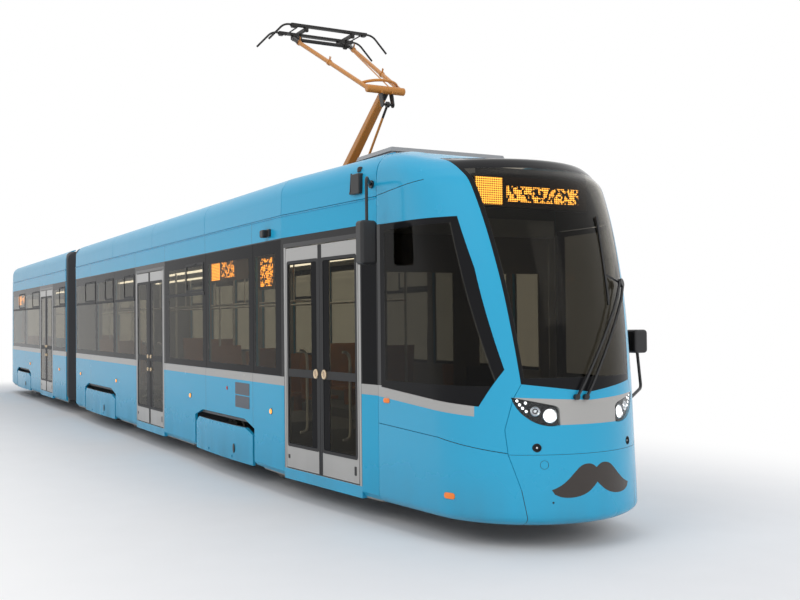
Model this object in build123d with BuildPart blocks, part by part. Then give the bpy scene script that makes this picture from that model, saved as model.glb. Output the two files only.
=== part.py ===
from build123d import *
import os
from math import atan, cos, degrees, radians, sin

# Low-floor articulated tram in two sections on three bogies, in millimetres.
# +X is forward, +Y is the left side, +Z is up, and z = 0 is the top of the rail.
# The origin is under the middle of the body's length.

# Body, overall
HALF_WIDTH = 1250
WALL = 60
APRON = 35
ROOM = 0.3
SLACK = 0.5
OVERCUT = 10

# Heights above the rail
RIM_Z = 190
RIM_INSET = 60
BODY_Z = 260
SILL_Z = 1310
BAND_Z = 2850
WALL_TOP_Z = 3110
CROWN_Z = 3555
FLOOR_Z = 350
FLOOR_T = 100
PODIUM_Z = 600
CEILING_Z = 2780

# Places along the length
TAPER_X = 8570
CAB_X = 10580
TAPER = 0.0811
PIVOT_X = -3400
CAR_GAP = 1000
PORTAL_T = 50
TAIL_SHELL_X = -11800
TAIL_TAPER = 0.06
FRONT_END_X = PIVOT_X + CAR_GAP / 2
REAR_END_X = PIVOT_X - CAR_GAP / 2
FRONT_SHELL_X = FRONT_END_X + PORTAL_T
REAR_SHELL_X = REAR_END_X - PORTAL_T
TAPER_ANGLE = degrees(atan(TAPER))
TAPER_RUN = (CAB_X - TAPER_X) / cos(radians(TAPER_ANGLE))

# Doorways: place of the rear edge; door 1 is measured along the tapered wall
DOOR_W = 1660
DOOR_Z = 320
DOOR_TOP_Z = 2790
DOOR_1_OFFSET = 50
DOOR_2_X = 2150
DOOR_3_X = -7220
DOOR_FRAME = 45
DOOR_T = 40
LEAF_GAP = 12
SEAL = 22
LEAF_STILE = 35
LEAF_FOOT = 240
LEAF_HEAD = 150
STOP_HALF = 100
STOP_LAP = 20

# Windows: edges of the panes, side by side
RIGHT_FRONT_PANES = [[3880, 5870, 7670, 8560], [-2840, -890, 590, 2090]]
RIGHT_REAR_PANES = [[-5490, -3960], [-11760, -9560, -7290]]
LEFT_FRONT_PANES = [[-2840, -1380, 80, 1540, 3000, 4460, 5870, 7670, 8560]]
LEFT_REAR_PANES = [[-11760, -9560, -7400, -5490, -3960]]
LEFT_TAPER_PANES = [60, 1060, 1960]
RIGHT_TAPER_PANES = [1730, 2000]
GLASS = 8
GLASS_SET = 1
PANE_EDGE = 55
PANE_GAP = 8

# Bogies: node name, centre, length of the skirts, number of motors
BOGIES = [("bogie_1", 6520, 2200, 2), ("bogie_2", -650, 2500, 0), ("bogie_3", -9880, 2250, 2)]
WHEELBASE = 1800
GAUGE = 1435
WHEEL_R = 300
FLANGE_H = 25
FLANGE_W = 25
FLANGE_ROUND = 6
TREAD_W = 85
TREAD_ROUND = 6
TREAD_CONE = 2
RIM_T = 50
WEB_T = 30
HUB_R = 110
HUB_BACK = 30
HUB_FLARE = 20
HUB_SINK = 10
AXLE_R = 65
JOURNAL_R = 50
JOURNAL_FIT = 0.1
BEAM_Y = 920
BEAM_W = 120
BEAM_H = 130
AXLE_BOX = 220
AXLE_BOX_R = 40
TRANSOM_X = 240
TRANSOM_W = 140
TRANSOM_H = 100
PIVOT_R = 90
PIVOT_WALL = 50
PIVOT_TOP_Z = 440
PIVOT_FOOT_Z = 280
JOURNAL_END_Y = 965
SKIRT_ARM_X = 500
SKIRT_ARM_W = 80
SKIRT_ARM_H = 50
MOTOR_D = 260
MOTOR_R = 60
MOTOR_HALF = 330
SKIRT_Z = 200
SKIRT_TOP_Z = 640
SKIRT_T = 35
SKIRT_BULGE = 30
SKIRT_CUTS = (150, 250)
SKIRT_CUT_H = 75
ARCH_GAP = 60
ARCH_TOP_Z = 740
ARCH_CUT = (330, 90)
WELL_Y = 455
WELL_Z = 690
WELL_T = 30
WELL_RUN = 260

# Floors and the gangway between the cars
RAMP = 250
CAB_FLOOR_NOSE = [(11350, 910), (11600, 850), (11900, 740), (12100, 550)]
TAIL_FLOOR_X = -12250
TURNTABLE_R = 620
TURNTABLE_GAP = 5
TURNTABLE_T = 20
PORTAL_INSET = 15
PORTAL_TOP_Z = 3515
PORTAL_R = 120
GANGWAY_HALF = 700
GANGWAY_H = 2450
ARM_Z = 130
ARM_T = 80
ARM_ROOM = 6
ARM_HALF = 260
BEARING_R = 120
BELLOWS_FOLDS = 8
BELLOWS_INSET = 70
BELLOWS_Z = (270, 3465)
BELLOWS_PROUD = 35
BELLOWS_T = 40
BELLOWS_FOOT_Y = 1120
BELLOWS_FOOT_Z = 400

# Cab and tail outlines by height: z, place of the end on the centre line, inset of the sides
CAB_LEVELS = [
    (200, 12370, 60), (275, 12450, 0), (800, 12420, 0), (1350, 12390, 0), (2100, 12310, 0),
    (2800, 12140, 0), (3150, 12000, 0), (3350, 11895, 10), (3450, 11830, 45), (3520, 11730, 120),
    (CROWN_Z, 11500, 300),
]
TAIL_LEVELS = [
    (200, -12370, 60), (275, -12450, 0), (1300, -12440, 0), (2100, -12410, 0), (2850, -12340, 0),
    (3350, -12230, 10), (3450, -12180, 45), (3520, -12100, 120), (CROWN_Z, -11950, 300),
]
TAIL_CORNER_R = 420
CAB_WALL = 45
FRONT_VIEW_X = 10780
FRONT_REACH = 2200
REAR_VIEW_X = -11900
REAR_REACH = -1000
HEAD_Z = 3080
NOSE_HALF = 400

# Openings of the cab: side window as x, z; windscreen and nose joints as y, z of one half
CAB_WINDOW = [(10640, 2840), (11670, 2830), (11860, 2370), (12110, 1500), (11950, 1190), (10640, 1300)]
SCREEN_FOOT_Z = 1305
SCREEN_FOOT = (580, 1380)
SCREEN_HEAD = (760, 3425)
SCREEN_HEAD_Z = 3370
MASK_EDGE = [(640, 1255), (700, 1000)]
MASK_FOOT = (685, 790)
BUMPER_EDGE = [(610, 500), (560, 150)]
LAMP_INNER = (300, 1190, 1035)
LAMP_TIP = (650, 1265)
LAMP_BELLY = (520, 1075)
EYE_AT = (490, 850)
EYE_R = 35
REAR_WINDOW = [(950, 1500), (880, 2750)]
TAIL_LAMP = (820, 950, 90, 340)

# Roof and cowls
ROOF_EDGE_Z = 3120
ROOF_Z = 3200
ROOF_T = 50
ROOF_FLAT_Y = 850
GUTTER = 200
COWL_T = 22
KNEE_STEP = 16
COWL_FLANGE = 150
COWL_WAIST = (5, 3300)
COWL_KNEE = (62, 3475)
COWL_CREST = (220, 3555)
COWL_GAP = 8
COWL_JOINTS_FRONT = [CAB_X, TAPER_X, 5820, 3140, 460, FRONT_SHELL_X]
COWL_JOINTS_REAR = [REAR_SHELL_X, -6630, -9310, TAIL_SHELL_X]
# Boxes on the roof: rear end, length, half width, height
FRONT_BOXES = [(1700, 2900, 720, 480), (9370, 800, 700, 490), (-2400, 2200, 650, 300)]
REAR_BOXES = [(-9300, 2600, 720, 430), (-6400, 1500, 650, 300)]
BOX_LID = 45
BOX_LIP = 18
BOX_TAPER = 20
VENT_PITCH = 480
VENT_W = 340
VENT_MARGIN = 90
VENT_DEPTH = 12

# Pantograph: pivots in side view as x, z
BASE_PIVOT = (7340, 3560)
KNEE = (8750, 4620)
HEAD_PIVOT = (7000, 5600)
TIE_FOOT = (7880, 3455)
TIE_HEAD = (8800, 4440)
PIN_R = 25
PIN_FIT = 0.1
LOWER_FOOT = (126, 108)
LOWER_TOP = (94, 84)
LOWER_CORNER_R = 18
LOWER_HALF = 180
EAR_T = 30
EAR_R = 60
TIE_EAR_R = 40
EYE_ROOM = 4
KNEE_R = 46
KNEE_HALF = 62
KNEE_SHAFT_R = 28
KNEE_END = 250
KNEE_ROUND = 14
UPPER_R = 27
UPPER_FOOT_Y = 222
YOKE_R = 17
YOKE_FOOT = 190
YOKE_CREST = (60, 98)
LEVEL_ROD = (8, 100, 372)
HEAD_HALF = 430
HEAD_TUBE_R = 24
LEVER_T = 14
LEVER_GAP = 14
LEVER_HALF = 34
LEVER_TOP = 42
TIE_R = 15
TIE_EYE_R = 34.5
TIE_EYE_T = 34
STRIP_HALF = 540
STRIP_PITCH = 420
STRIP_W = 60
STRIP_H = 32
STRIP_Z = 110
CRADLE_Y = 330
CRADLE_W = 36
CRADLE_H = 40
CRADLE_POST = 50
HEAD_HUB_R = 44
HORN_R = 13
HORN_Y = 840
HORN_DROP = 205
HORN_BEND = (90, 170)
BASE_RAIL = (6850, 8250)
BASE_Y = 380
BASE_RAIL_W = 70
BASE_TOP_Z = 3470
CROSS_TOP_Z = 3430
INSULATOR_R = 42
INSULATOR_H = 190
SHED_R = 66
SHED_T = 14
SHED_COUNT = 4

# Outside fittings: mirrors as low corner and high corner, with the bends of their arms
MIRROR_ARM_R = 15
MIRROR_BEND_R = 60
MIRROR_FOOT_R = 38
MIRROR_FOOT_T = 20
MIRROR_CORNER_R = 35
MIRROR_CROWN_R = 28
MIRROR_RIM = 12
RIGHT_MIRROR = (10700, -1368, 2450, 10812, -1198, 2860)
RIGHT_MIRROR_ARM = [(10754, -1280, 3275), (10754, -1280, 2840)]
RIGHT_MIRROR_FOOT = (10500, 3240)
LEFT_MIRROR = (11450, 1230, 1580, 11580, 1400, 1810)
LEFT_MIRROR_ARM = [(11560, 1315, 1240), (11515, 1315, 1580)]
LEFT_MIRROR_FOOT = (950, 1140)
# Wiper: bars from end to end as y, z, distance off the glass
WIPER_BARS = [
    ((-150, 1265, 32), (470, 2240, 60)), ((-60, 1262, 32), (525, 2215, 60)),
    ((345, 2830, 14), (300, 2040, 14)), ((500, 2228, 50), (322, 2300, 20)),
]
WIPER_W = 18
WIPER_STEPS = 8
# Discs of the wiper: y, z, radius, near and far face off the glass
WIPER_DISCS = [(-150, 1265, 24, ROOM, 40), (-60, 1262, 24, ROOM, 40), (498, 2228, 38, 42, 72)]

# Inside: seats as x of the backrest, y of the middle, floor under them, way they face
SEAT_W = 430
SEAT_D = 430
SEAT_T = 45
SEAT_BACK = 620
SEAT_LEAN = 40
SEAT_LEG = 140
WELL_TOP_Z = WELL_Z + WELL_T
LOW_PAN_Z = 780
HIGH_PAN_Z = 980
FRONT_SEATS = [
    (7350, -890, WELL_TOP_Z, -1), (7350, 890, WELL_TOP_Z, -1), (5700, -890, WELL_TOP_Z, 1),
    (5700, 890, WELL_TOP_Z, 1), (4600, 900, FLOOR_Z, 1), (3800, 900, FLOOR_Z, 1), (3000, 900, FLOOR_Z, 1),
    (2200, 900, FLOOR_Z, 1), (4600, -900, FLOOR_Z, 1), (8900, 900, FLOOR_Z, 1), (250, -890, WELL_TOP_Z, -1),
    (250, 890, WELL_TOP_Z, -1), (-1500, -890, WELL_TOP_Z, 1), (-1500, 890, WELL_TOP_Z, 1),
]
REAR_SEATS = [
    (-9050, -890, WELL_TOP_Z, -1), (-9050, 890, WELL_TOP_Z, -1), (-10700, -890, WELL_TOP_Z, 1),
    (-10700, 890, WELL_TOP_Z, 1), (-4700, -900, FLOOR_Z, 1), (-4700, 900, FLOOR_Z, 1),
    (-5600, 900, FLOOR_Z, 1), (-6500, 900, FLOOR_Z, 1), (-7400, 900, FLOOR_Z, 1), (-11840, 900, FLOOR_Z, 1),
    (-11840, -900, FLOOR_Z, 1),
]
POLE_R = 17
FRONT_POLES = [(8250, -520), (8250, 520), (4300, -520), (4300, 520), (2000, -520), (2000, 520)]
REAR_POLES = [(-5200, -520), (-5200, 520), (-7500, -520), (-7500, 520)]

PARTITION_X = 10430
PARTITION_T = 30
PARTITION_WINDOW = (150, 120, 1250, 2400)
DESK_HALF = 820
DESK_PROFILE = [(11650, 350), (12050, 350), (12200, 1150), (11400, 1080), (11380, 1030), (11650, 900)]
DESK_FRONT_X = 12180
DESK_INSET = 95
DRIVER_SEAT = (10850, 0, FLOOR_Z, 1, 850)
FRONT_DISPLAY = (11560, -600, 3020, 11640, 600, 3290)
SIDE_DISPLAYS = [(6130, 6650), (7800, 8350)]
SIDE_DISPLAY_Z = 2400
SIDE_DISPLAY_T = 60
DISPLAY_R = 10
HANGER_Y = 450
HANGER_W = 40

RIGHT = Plane.XZ.offset(HALF_WIDTH)
RIGHT_TAPER = Plane(
    origin=(TAPER_X, -HALF_WIDTH, 0),
    x_dir=(cos(radians(TAPER_ANGLE)), sin(radians(TAPER_ANGLE)), 0),
    z_dir=(sin(radians(TAPER_ANGLE)), -cos(radians(TAPER_ANGLE)), 0),
)
os.makedirs("parts", exist_ok=True)


def save(part, name):
    """Writes one node to its own file."""
    part.label = name
    export_step(part, f"parts/{name}.step")


def side_y(x):
    """Half width of the body at a station along its length."""
    if x > TAPER_X:
        return HALF_WIDTH - TAPER * (x - TAPER_X)
    if x < TAIL_SHELL_X:
        return HALF_WIDTH - TAIL_TAPER * (TAIL_SHELL_X - x)
    return HALF_WIDTH


def cab_plan(z, front_x, inset, rear_x):
    """Plan of the cab at one height: tapered sides that run into a round nose."""
    slope = atan(TAPER)
    nose_r = cos(slope) * (side_y(front_x) - inset) / (1 - TAPER * cos(slope))
    tangent_x = front_x - nose_r + nose_r * sin(slope)
    tangent_y = nose_r * cos(slope)
    rear_y = side_y(rear_x) - inset
    with BuildSketch(Plane.XY.offset(z)) as plan:
        with BuildLine():
            Line((rear_x, -rear_y), (tangent_x, -tangent_y))
            ThreePointArc((tangent_x, -tangent_y), (front_x, 0), (tangent_x, tangent_y))
            Line((tangent_x, tangent_y), (rear_x, rear_y))
            Line((rear_x, rear_y), (rear_x, -rear_y))
        make_face()
    return plan.sketch


def tail_plan(z, end_x, inset, front_x):
    """Plan of the tail at one height: a straight end with two round corners."""
    front_y = side_y(front_x) - inset
    end_y = side_y(end_x) - inset
    with BuildSketch(Plane.XY.offset(z)) as plan:
        with BuildLine():
            Polyline((front_x, -front_y), (end_x, -end_y), (end_x, end_y), (front_x, front_y), close=True)
        make_face()
        fillet(plan.vertices().group_by(Axis.X)[0], TAIL_CORNER_R - inset)
    return plan.sketch


def end_loft(levels, depth, open_x, plan, sign):
    """Loft of one end of the tram, shrunk inwards by depth."""
    for z, end_x, inset in levels:
        lowered = z - depth if z == CROWN_Z else z
        add(plan(lowered, end_x - sign * depth, inset + depth, open_x))
    loft(ruled=True)


def both_halves(half):
    """A closed outline from the points of its left half, from top to bottom."""
    return half + [(-y, z) for y, z in reversed(half) if y != 0]


def outline(plane, points, grow=0.0):
    """A face with straight edges through the points, grown by a clearance."""
    with BuildSketch(plane) as face:
        with BuildLine():
            Polyline(*points, close=True)
        make_face()
        if grow:
            offset(amount=grow, kind=Kind.INTERSECTION)
    return face.sketch


def rectangles(plane, boxes):
    """Rectangles on a plane, each from its low corner to its high corner."""
    with BuildSketch(plane) as face:
        for x0, z0, x1, z1 in boxes:
            with Locations(((x0 + x1) / 2, (z0 + z1) / 2)):
                Rectangle(x1 - x0, z1 - z0)
    return face.sketch


def punch(plane, boxes, depth):
    """Cuts rectangles out of the current part, to a depth behind the plane."""
    if boxes:
        extrude(rectangles(plane, boxes), amount=-depth, mode=Mode.SUBTRACT)


FRONT_VIEW = Plane.YZ.offset(FRONT_VIEW_X)
SIDE_VIEW = Plane.XZ.offset(-HALF_WIDTH)
screen_half = [(0, SCREEN_HEAD_Z), SCREEN_HEAD, SCREEN_FOOT, (0, SCREEN_FOOT_Z)]
mask_half = [(0, SCREEN_FOOT_Z), SCREEN_FOOT] + MASK_EDGE + [MASK_FOOT, (0, MASK_FOOT[1])]
bumper_half = [(0, MASK_FOOT[1]), MASK_FOOT] + BUMPER_EDGE + [(0, BUMPER_EDGE[-1][1])]
SCREEN_OUTLINE = both_halves(screen_half)
MASK_OUTLINE = both_halves(mask_half)
BUMPER_OUTLINE = both_halves(bumper_half)


def lamp_outline(grow=0.0):
    """Both headlamp outlines in front view."""
    inner_y, inner_top, inner_foot = LAMP_INNER
    with BuildSketch(FRONT_VIEW) as lamps:
        with BuildLine():
            Line((inner_y, inner_foot), (inner_y, inner_top))
            Line((inner_y, inner_top), LAMP_TIP)
            ThreePointArc(LAMP_TIP, LAMP_BELLY, (inner_y, inner_foot))
        make_face()
        mirror(about=Plane.YZ)
        if grow:
            offset(amount=grow)
    return lamps.sketch


# Cab body: a lofted shell with a closed rear above the ceiling and an open floor
with BuildPart() as cab_room:
    end_loft(CAB_LEVELS, CAB_WALL, CAB_X - 1, cab_plan, 1)
    bulkhead = rectangles(SIDE_VIEW, [(CAB_X - 2, HEAD_Z, CAB_X + CAB_WALL, CROWN_Z)])
    extrude(bulkhead, amount=2 * HALF_WIDTH, mode=Mode.SUBTRACT)

with BuildPart() as cab_body:
    end_loft(CAB_LEVELS, 0, CAB_X, cab_plan, 1)
    add(cab_room.part, mode=Mode.SUBTRACT)

with BuildPart() as nose_panel:
    add(cab_body.part)
    extrude(outline(FRONT_VIEW, MASK_OUTLINE), amount=FRONT_REACH, mode=Mode.INTERSECT)
    extrude(lamp_outline(ROOM), amount=FRONT_REACH, mode=Mode.SUBTRACT)
    with BuildSketch(FRONT_VIEW):
        with Locations(EYE_AT, (-EYE_AT[0], EYE_AT[1])):
            Circle(EYE_R)
    extrude(amount=FRONT_REACH, mode=Mode.SUBTRACT)
save(nose_panel.part, "nose_panel")

with BuildPart() as headlamps:
    add(cab_body.part)
    extrude(lamp_outline(), amount=FRONT_REACH, mode=Mode.INTERSECT)
save(headlamps.part, "headlamps")

with BuildPart() as bumper_panel:
    add(cab_body.part)
    extrude(outline(FRONT_VIEW, BUMPER_OUTLINE), amount=FRONT_REACH, mode=Mode.INTERSECT)
save(bumper_panel.part, "bumper_panel")

with BuildPart() as glass_room:
    end_loft(CAB_LEVELS, GLASS + GLASS_SET, CAB_X - 1, cab_plan, 1)

with BuildPart() as glass_skin:
    end_loft(CAB_LEVELS, GLASS_SET, CAB_X, cab_plan, 1)
    add(glass_room.part, mode=Mode.SUBTRACT)

with BuildPart() as windscreen:
    add(glass_skin.part)
    extrude(outline(FRONT_VIEW, SCREEN_OUTLINE), amount=FRONT_REACH, mode=Mode.INTERSECT)

with BuildPart() as side_windows:
    add(glass_skin.part)
    extrude(outline(SIDE_VIEW, CAB_WINDOW), amount=2 * HALF_WIDTH, mode=Mode.INTERSECT)
    front_gap = rectangles(FRONT_VIEW, [(-NOSE_HALF, 0, NOSE_HALF, CROWN_Z)])
    extrude(front_gap, amount=FRONT_REACH, mode=Mode.SUBTRACT)

with BuildPart() as cab_glass:
    add(windscreen.part)
    add(side_windows.part)
save(cab_glass.part, "cab_glass")

with BuildPart() as cab_shell:
    add(cab_body.part)
    for points in (SCREEN_OUTLINE, MASK_OUTLINE, BUMPER_OUTLINE):
        extrude(outline(FRONT_VIEW, points, ROOM), amount=FRONT_REACH, mode=Mode.SUBTRACT)
    extrude(lamp_outline(ROOM), amount=FRONT_REACH, mode=Mode.SUBTRACT)
    extrude(outline(SIDE_VIEW, CAB_WINDOW, ROOM), amount=2 * HALF_WIDTH, mode=Mode.SUBTRACT)
save(cab_shell.part, "cab_shell")


# Tail: a lofted shell with a rear window and lamps
with BuildPart() as tail_room:
    end_loft(TAIL_LEVELS, CAB_WALL, TAIL_SHELL_X + 1, tail_plan, -1)
    bulkhead = rectangles(SIDE_VIEW, [(TAIL_SHELL_X - CAB_WALL, HEAD_Z, TAIL_SHELL_X + 2, CROWN_Z)])
    extrude(bulkhead, amount=2 * HALF_WIDTH, mode=Mode.SUBTRACT)

REAR_VIEW = Plane.YZ.offset(REAR_VIEW_X)
window_half = [(0, REAR_WINDOW[1][1]), REAR_WINDOW[1], REAR_WINDOW[0], (0, REAR_WINDOW[0][1])]
REAR_OUTLINE = both_halves(window_half)
lamp_y, lamp_z, lamp_w, lamp_h = TAIL_LAMP
TAIL_LAMPS = [
    (-lamp_y - lamp_w, lamp_z, -lamp_y, lamp_z + lamp_h),
    (lamp_y, lamp_z, lamp_y + lamp_w, lamp_z + lamp_h),
]
TAIL_CUTS = [(a - ROOM, b - ROOM, c + ROOM, d + ROOM) for a, b, c, d in TAIL_LAMPS]

with BuildPart() as tail_body:
    end_loft(TAIL_LEVELS, 0, TAIL_SHELL_X, tail_plan, -1)
    add(tail_room.part, mode=Mode.SUBTRACT)

with BuildPart() as tail_shell:
    add(tail_body.part)
    extrude(outline(REAR_VIEW, REAR_OUTLINE, ROOM), amount=REAR_REACH, mode=Mode.SUBTRACT)
    extrude(rectangles(REAR_VIEW, TAIL_CUTS), amount=REAR_REACH, mode=Mode.SUBTRACT)
save(tail_shell.part, "tail_shell")

with BuildPart() as tail_lamps:
    add(tail_body.part)
    extrude(rectangles(REAR_VIEW, TAIL_LAMPS), amount=REAR_REACH, mode=Mode.INTERSECT)
save(tail_lamps.part, "tail_lamps")

with BuildPart() as tail_glass_room:
    end_loft(TAIL_LEVELS, GLASS + GLASS_SET, TAIL_SHELL_X + 1, tail_plan, -1)

with BuildPart() as rear_window:
    end_loft(TAIL_LEVELS, GLASS_SET, TAIL_SHELL_X, tail_plan, -1)
    add(tail_glass_room.part, mode=Mode.SUBTRACT)
    extrude(outline(REAR_VIEW, REAR_OUTLINE), amount=REAR_REACH, mode=Mode.INTERSECT)


# Side walls: flat plates with a black window band set back, doorways and bogie arches
def arch_points(centre, skirt):
    """The cut in the wall round one bogie's skirt, in side view."""
    half = skirt / 2 + ARCH_GAP
    cut_x, cut_z = ARCH_CUT
    return [
        (centre - half, RIM_Z - OVERCUT), (centre - half, ARCH_TOP_Z - cut_z),
        (centre - half + cut_x, ARCH_TOP_Z), (centre + half - cut_x, ARCH_TOP_Z),
        (centre + half, ARCH_TOP_Z - cut_z), (centre + half, RIM_Z - OVERCUT),
    ]


def wall_solid(plane, x0, x1, pane_rows, doors, arches):
    """One flat stretch of side wall, drawn on the plane of its outer face."""
    with BuildPart() as wall:
        extrude(rectangles(plane, [(x0, BODY_Z, x1, WALL_TOP_Z)]), amount=-WALL)
        corner = plane.from_local_coords(Vector(x0, 0, 0))
        with BuildSketch(Plane(origin=corner, x_dir=-plane.z_dir, z_dir=plane.x_dir)):
            with BuildLine():
                Polyline((0, BODY_Z), (RIM_INSET, RIM_Z), (RIM_INSET, BODY_Z), close=True)
            make_face()
        extrude(amount=x1 - x0)
        band = [(row[0], SILL_Z, row[-1], BAND_Z) for row in pane_rows]
        punch(plane, band, GLASS + GLASS_SET)
        holes = [
            (a + PANE_EDGE, SILL_Z + PANE_EDGE, b - PANE_EDGE, BAND_Z - PANE_EDGE)
            for row in pane_rows for a, b in zip(row, row[1:])
        ]
        punch(plane, holes, WALL)
        for centre, skirt in arches:
            half = skirt / 2 + WELL_RUN
            punch(plane.offset(-APRON), [(centre - half, RIM_Z - OVERCUT, centre + half, WELL_Z)], WALL)
            extrude(outline(plane, arch_points(centre, skirt)), amount=-WALL, mode=Mode.SUBTRACT)
        punch(plane, [(x, RIM_Z - OVERCUT, x + DOOR_W, DOOR_TOP_Z) for x in doors], WALL + 1)
    return wall.part


def pane_solids(plane, pane_rows):
    """The panes of one stretch of wall, with a thin gap between neighbours."""
    panes = [
        (a + PANE_GAP / 2, SILL_Z + PANE_GAP / 2, b - PANE_GAP / 2, BAND_Z - PANE_GAP / 2)
        for row in pane_rows for a, b in zip(row, row[1:])
    ]
    with BuildPart() as glazing:
        extrude(rectangles(plane.offset(-GLASS_SET), panes), amount=-GLASS)
    return glazing.part


front_arches = [(x, skirt) for name, x, skirt, motors in BOGIES if x > PIVOT_X]
rear_arches = [(x, skirt) for name, x, skirt, motors in BOGIES if x < PIVOT_X]

with BuildPart() as front_wall_right:
    add(wall_solid(RIGHT, FRONT_SHELL_X, TAPER_X, RIGHT_FRONT_PANES, [DOOR_2_X], front_arches))
    add(wall_solid(RIGHT_TAPER, 0, TAPER_RUN, [RIGHT_TAPER_PANES], [DOOR_1_OFFSET], []))
save(front_wall_right.part, "front_wall_right")

with BuildPart() as front_wall_left:
    add(wall_solid(RIGHT, FRONT_SHELL_X, TAPER_X, LEFT_FRONT_PANES, [], front_arches))
    add(wall_solid(RIGHT_TAPER, 0, TAPER_RUN, [LEFT_TAPER_PANES], [], []))
    mirror(about=Plane.XZ, mode=Mode.REPLACE)
save(front_wall_left.part, "front_wall_left")

with BuildPart() as rear_wall_right:
    add(wall_solid(RIGHT, TAIL_SHELL_X, REAR_SHELL_X, RIGHT_REAR_PANES, [DOOR_3_X], rear_arches))
save(rear_wall_right.part, "rear_wall_right")

with BuildPart() as rear_wall_left:
    add(wall_solid(RIGHT, TAIL_SHELL_X, REAR_SHELL_X, LEFT_REAR_PANES, [], rear_arches))
    mirror(about=Plane.XZ, mode=Mode.REPLACE)
save(rear_wall_left.part, "rear_wall_left")

# Doors: a portal frame, two leaves with a glass field each and the rubber between them
LEAF_W = (DOOR_W - 2 * DOOR_FRAME - 2 * LEAF_GAP - SEAL) / 2
LEAF_TOP_Z = DOOR_TOP_Z - DOOR_FRAME - LEAF_GAP


def leaf_starts(x):
    """Rear edges of the two leaves of the doorway that starts at x."""
    first = x + DOOR_FRAME + LEAF_GAP
    return [first, first + LEAF_W + SEAL]


def door_frame(plane, x):
    """The frame round one doorway, with a stop behind the head of each leaf."""
    with BuildPart() as frame:
        x1 = x + DOOR_W
        extrude(rectangles(plane, [(x, RIM_Z, x1, DOOR_TOP_Z)]), amount=-WALL)
        inner = [(x + DOOR_FRAME, DOOR_Z - LEAF_GAP, x1 - DOOR_FRAME, DOOR_TOP_Z - DOOR_FRAME)]
        extrude(rectangles(plane, inner), amount=-WALL, mode=Mode.SUBTRACT)
        for start in leaf_starts(x):
            middle = start + LEAF_W / 2
            stop = [(middle - STOP_HALF, LEAF_TOP_Z - STOP_LAP, middle + STOP_HALF, DOOR_TOP_Z)]
            extrude(rectangles(plane.offset(-DOOR_T), stop), amount=-(WALL - DOOR_T))
    return frame.part


def glass_field(x):
    """The glass of the leaf that starts at x, from low corner to high corner."""
    return (x + LEAF_STILE, DOOR_Z + LEAF_FOOT, x + LEAF_W - LEAF_STILE, LEAF_TOP_Z - LEAF_HEAD)


def door_leaves(plane, x):
    """Both leaves of one doorway, open where the glass sits."""
    with BuildPart() as leaves:
        starts = leaf_starts(x)
        plates = [(a, DOOR_Z, a + LEAF_W, LEAF_TOP_Z) for a in starts]
        extrude(rectangles(plane, plates), amount=-DOOR_T)
        extrude(rectangles(plane, [glass_field(a) for a in starts]), amount=-DOOR_T, mode=Mode.SUBTRACT)
    return leaves.part


def door_glass(plane, x):
    """The glass of both leaves of one doorway."""
    with BuildPart() as glass:
        fields = [glass_field(a) for a in leaf_starts(x)]
        extrude(rectangles(plane.offset(-GLASS_SET), fields), amount=-GLASS)
    return glass.part


DOORS = [
    ("front", [(RIGHT_TAPER, DOOR_1_OFFSET), (RIGHT, DOOR_2_X)]),
    ("rear", [(RIGHT, DOOR_3_X)]),
]
for car, doorways in DOORS:
    for kind, make in (("frames", door_frame), ("leaves", door_leaves)):
        with BuildPart() as door_part:
            for plane, x in doorways:
                add(make(plane, x))
        save(door_part.part, f"{car}_door_{kind}")

with BuildPart() as front_glazing:
    add(pane_solids(RIGHT, LEFT_FRONT_PANES))
    add(pane_solids(RIGHT_TAPER, [LEFT_TAPER_PANES]))
    mirror(about=Plane.XZ, mode=Mode.REPLACE)
    add(pane_solids(RIGHT, RIGHT_FRONT_PANES))
    add(pane_solids(RIGHT_TAPER, [RIGHT_TAPER_PANES]))
    for plane, x in DOORS[0][1]:
        add(door_glass(plane, x))
save(front_glazing.part, "front_glazing")

with BuildPart() as rear_glazing:
    add(pane_solids(RIGHT, LEFT_REAR_PANES))
    mirror(about=Plane.XZ, mode=Mode.REPLACE)
    add(pane_solids(RIGHT, RIGHT_REAR_PANES))
    for plane, x in DOORS[1][1]:
        add(door_glass(plane, x))
    add(rear_window.part)
save(rear_glazing.part, "rear_glazing")


# Roof: a hollow box section with a flat top, and cowls along both edges
def roof_section(x):
    """Outer section of the roof at one station."""
    half = side_y(x) - WALL - SLACK
    left = [
        (half, CEILING_Z), (half, ROOF_EDGE_Z), (half - GUTTER, ROOF_EDGE_Z), (ROOF_FLAT_Y - GUTTER, ROOF_Z),
    ]
    return outline(Plane.YZ.offset(x), both_halves(left))


def roof_hollow(x):
    """Hollow inside the roof at one station."""
    half = side_y(x) - WALL - ROOF_T
    high = ROOF_EDGE_Z - ROOF_T
    left = [
        (half, CEILING_Z + ROOF_T), (half, high), (half - GUTTER, high),
        (ROOF_FLAT_Y - GUTTER, ROOF_Z - ROOF_T),
    ]
    return outline(Plane.YZ.offset(x), both_halves(left))


def ruled(section, x0, x1, mode=Mode.ADD):
    """A ruled loft between the same section at two stations."""
    loft([section(x0), section(x1)], ruled=True, mode=mode)


with BuildPart() as front_roof:
    ruled(roof_section, FRONT_SHELL_X, TAPER_X)
    ruled(roof_section, TAPER_X, CAB_X)
    ruled(roof_hollow, FRONT_SHELL_X + ROOF_T, TAPER_X, Mode.SUBTRACT)
    ruled(roof_hollow, TAPER_X, CAB_X - ROOF_T, Mode.SUBTRACT)
save(front_roof.part, "front_roof")

with BuildPart() as rear_roof:
    ruled(roof_section, TAIL_SHELL_X, REAR_SHELL_X)
    ruled(roof_hollow, TAIL_SHELL_X + ROOF_T, REAR_SHELL_X - ROOF_T, Mode.SUBTRACT)
save(rear_roof.part, "rear_roof")


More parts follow.
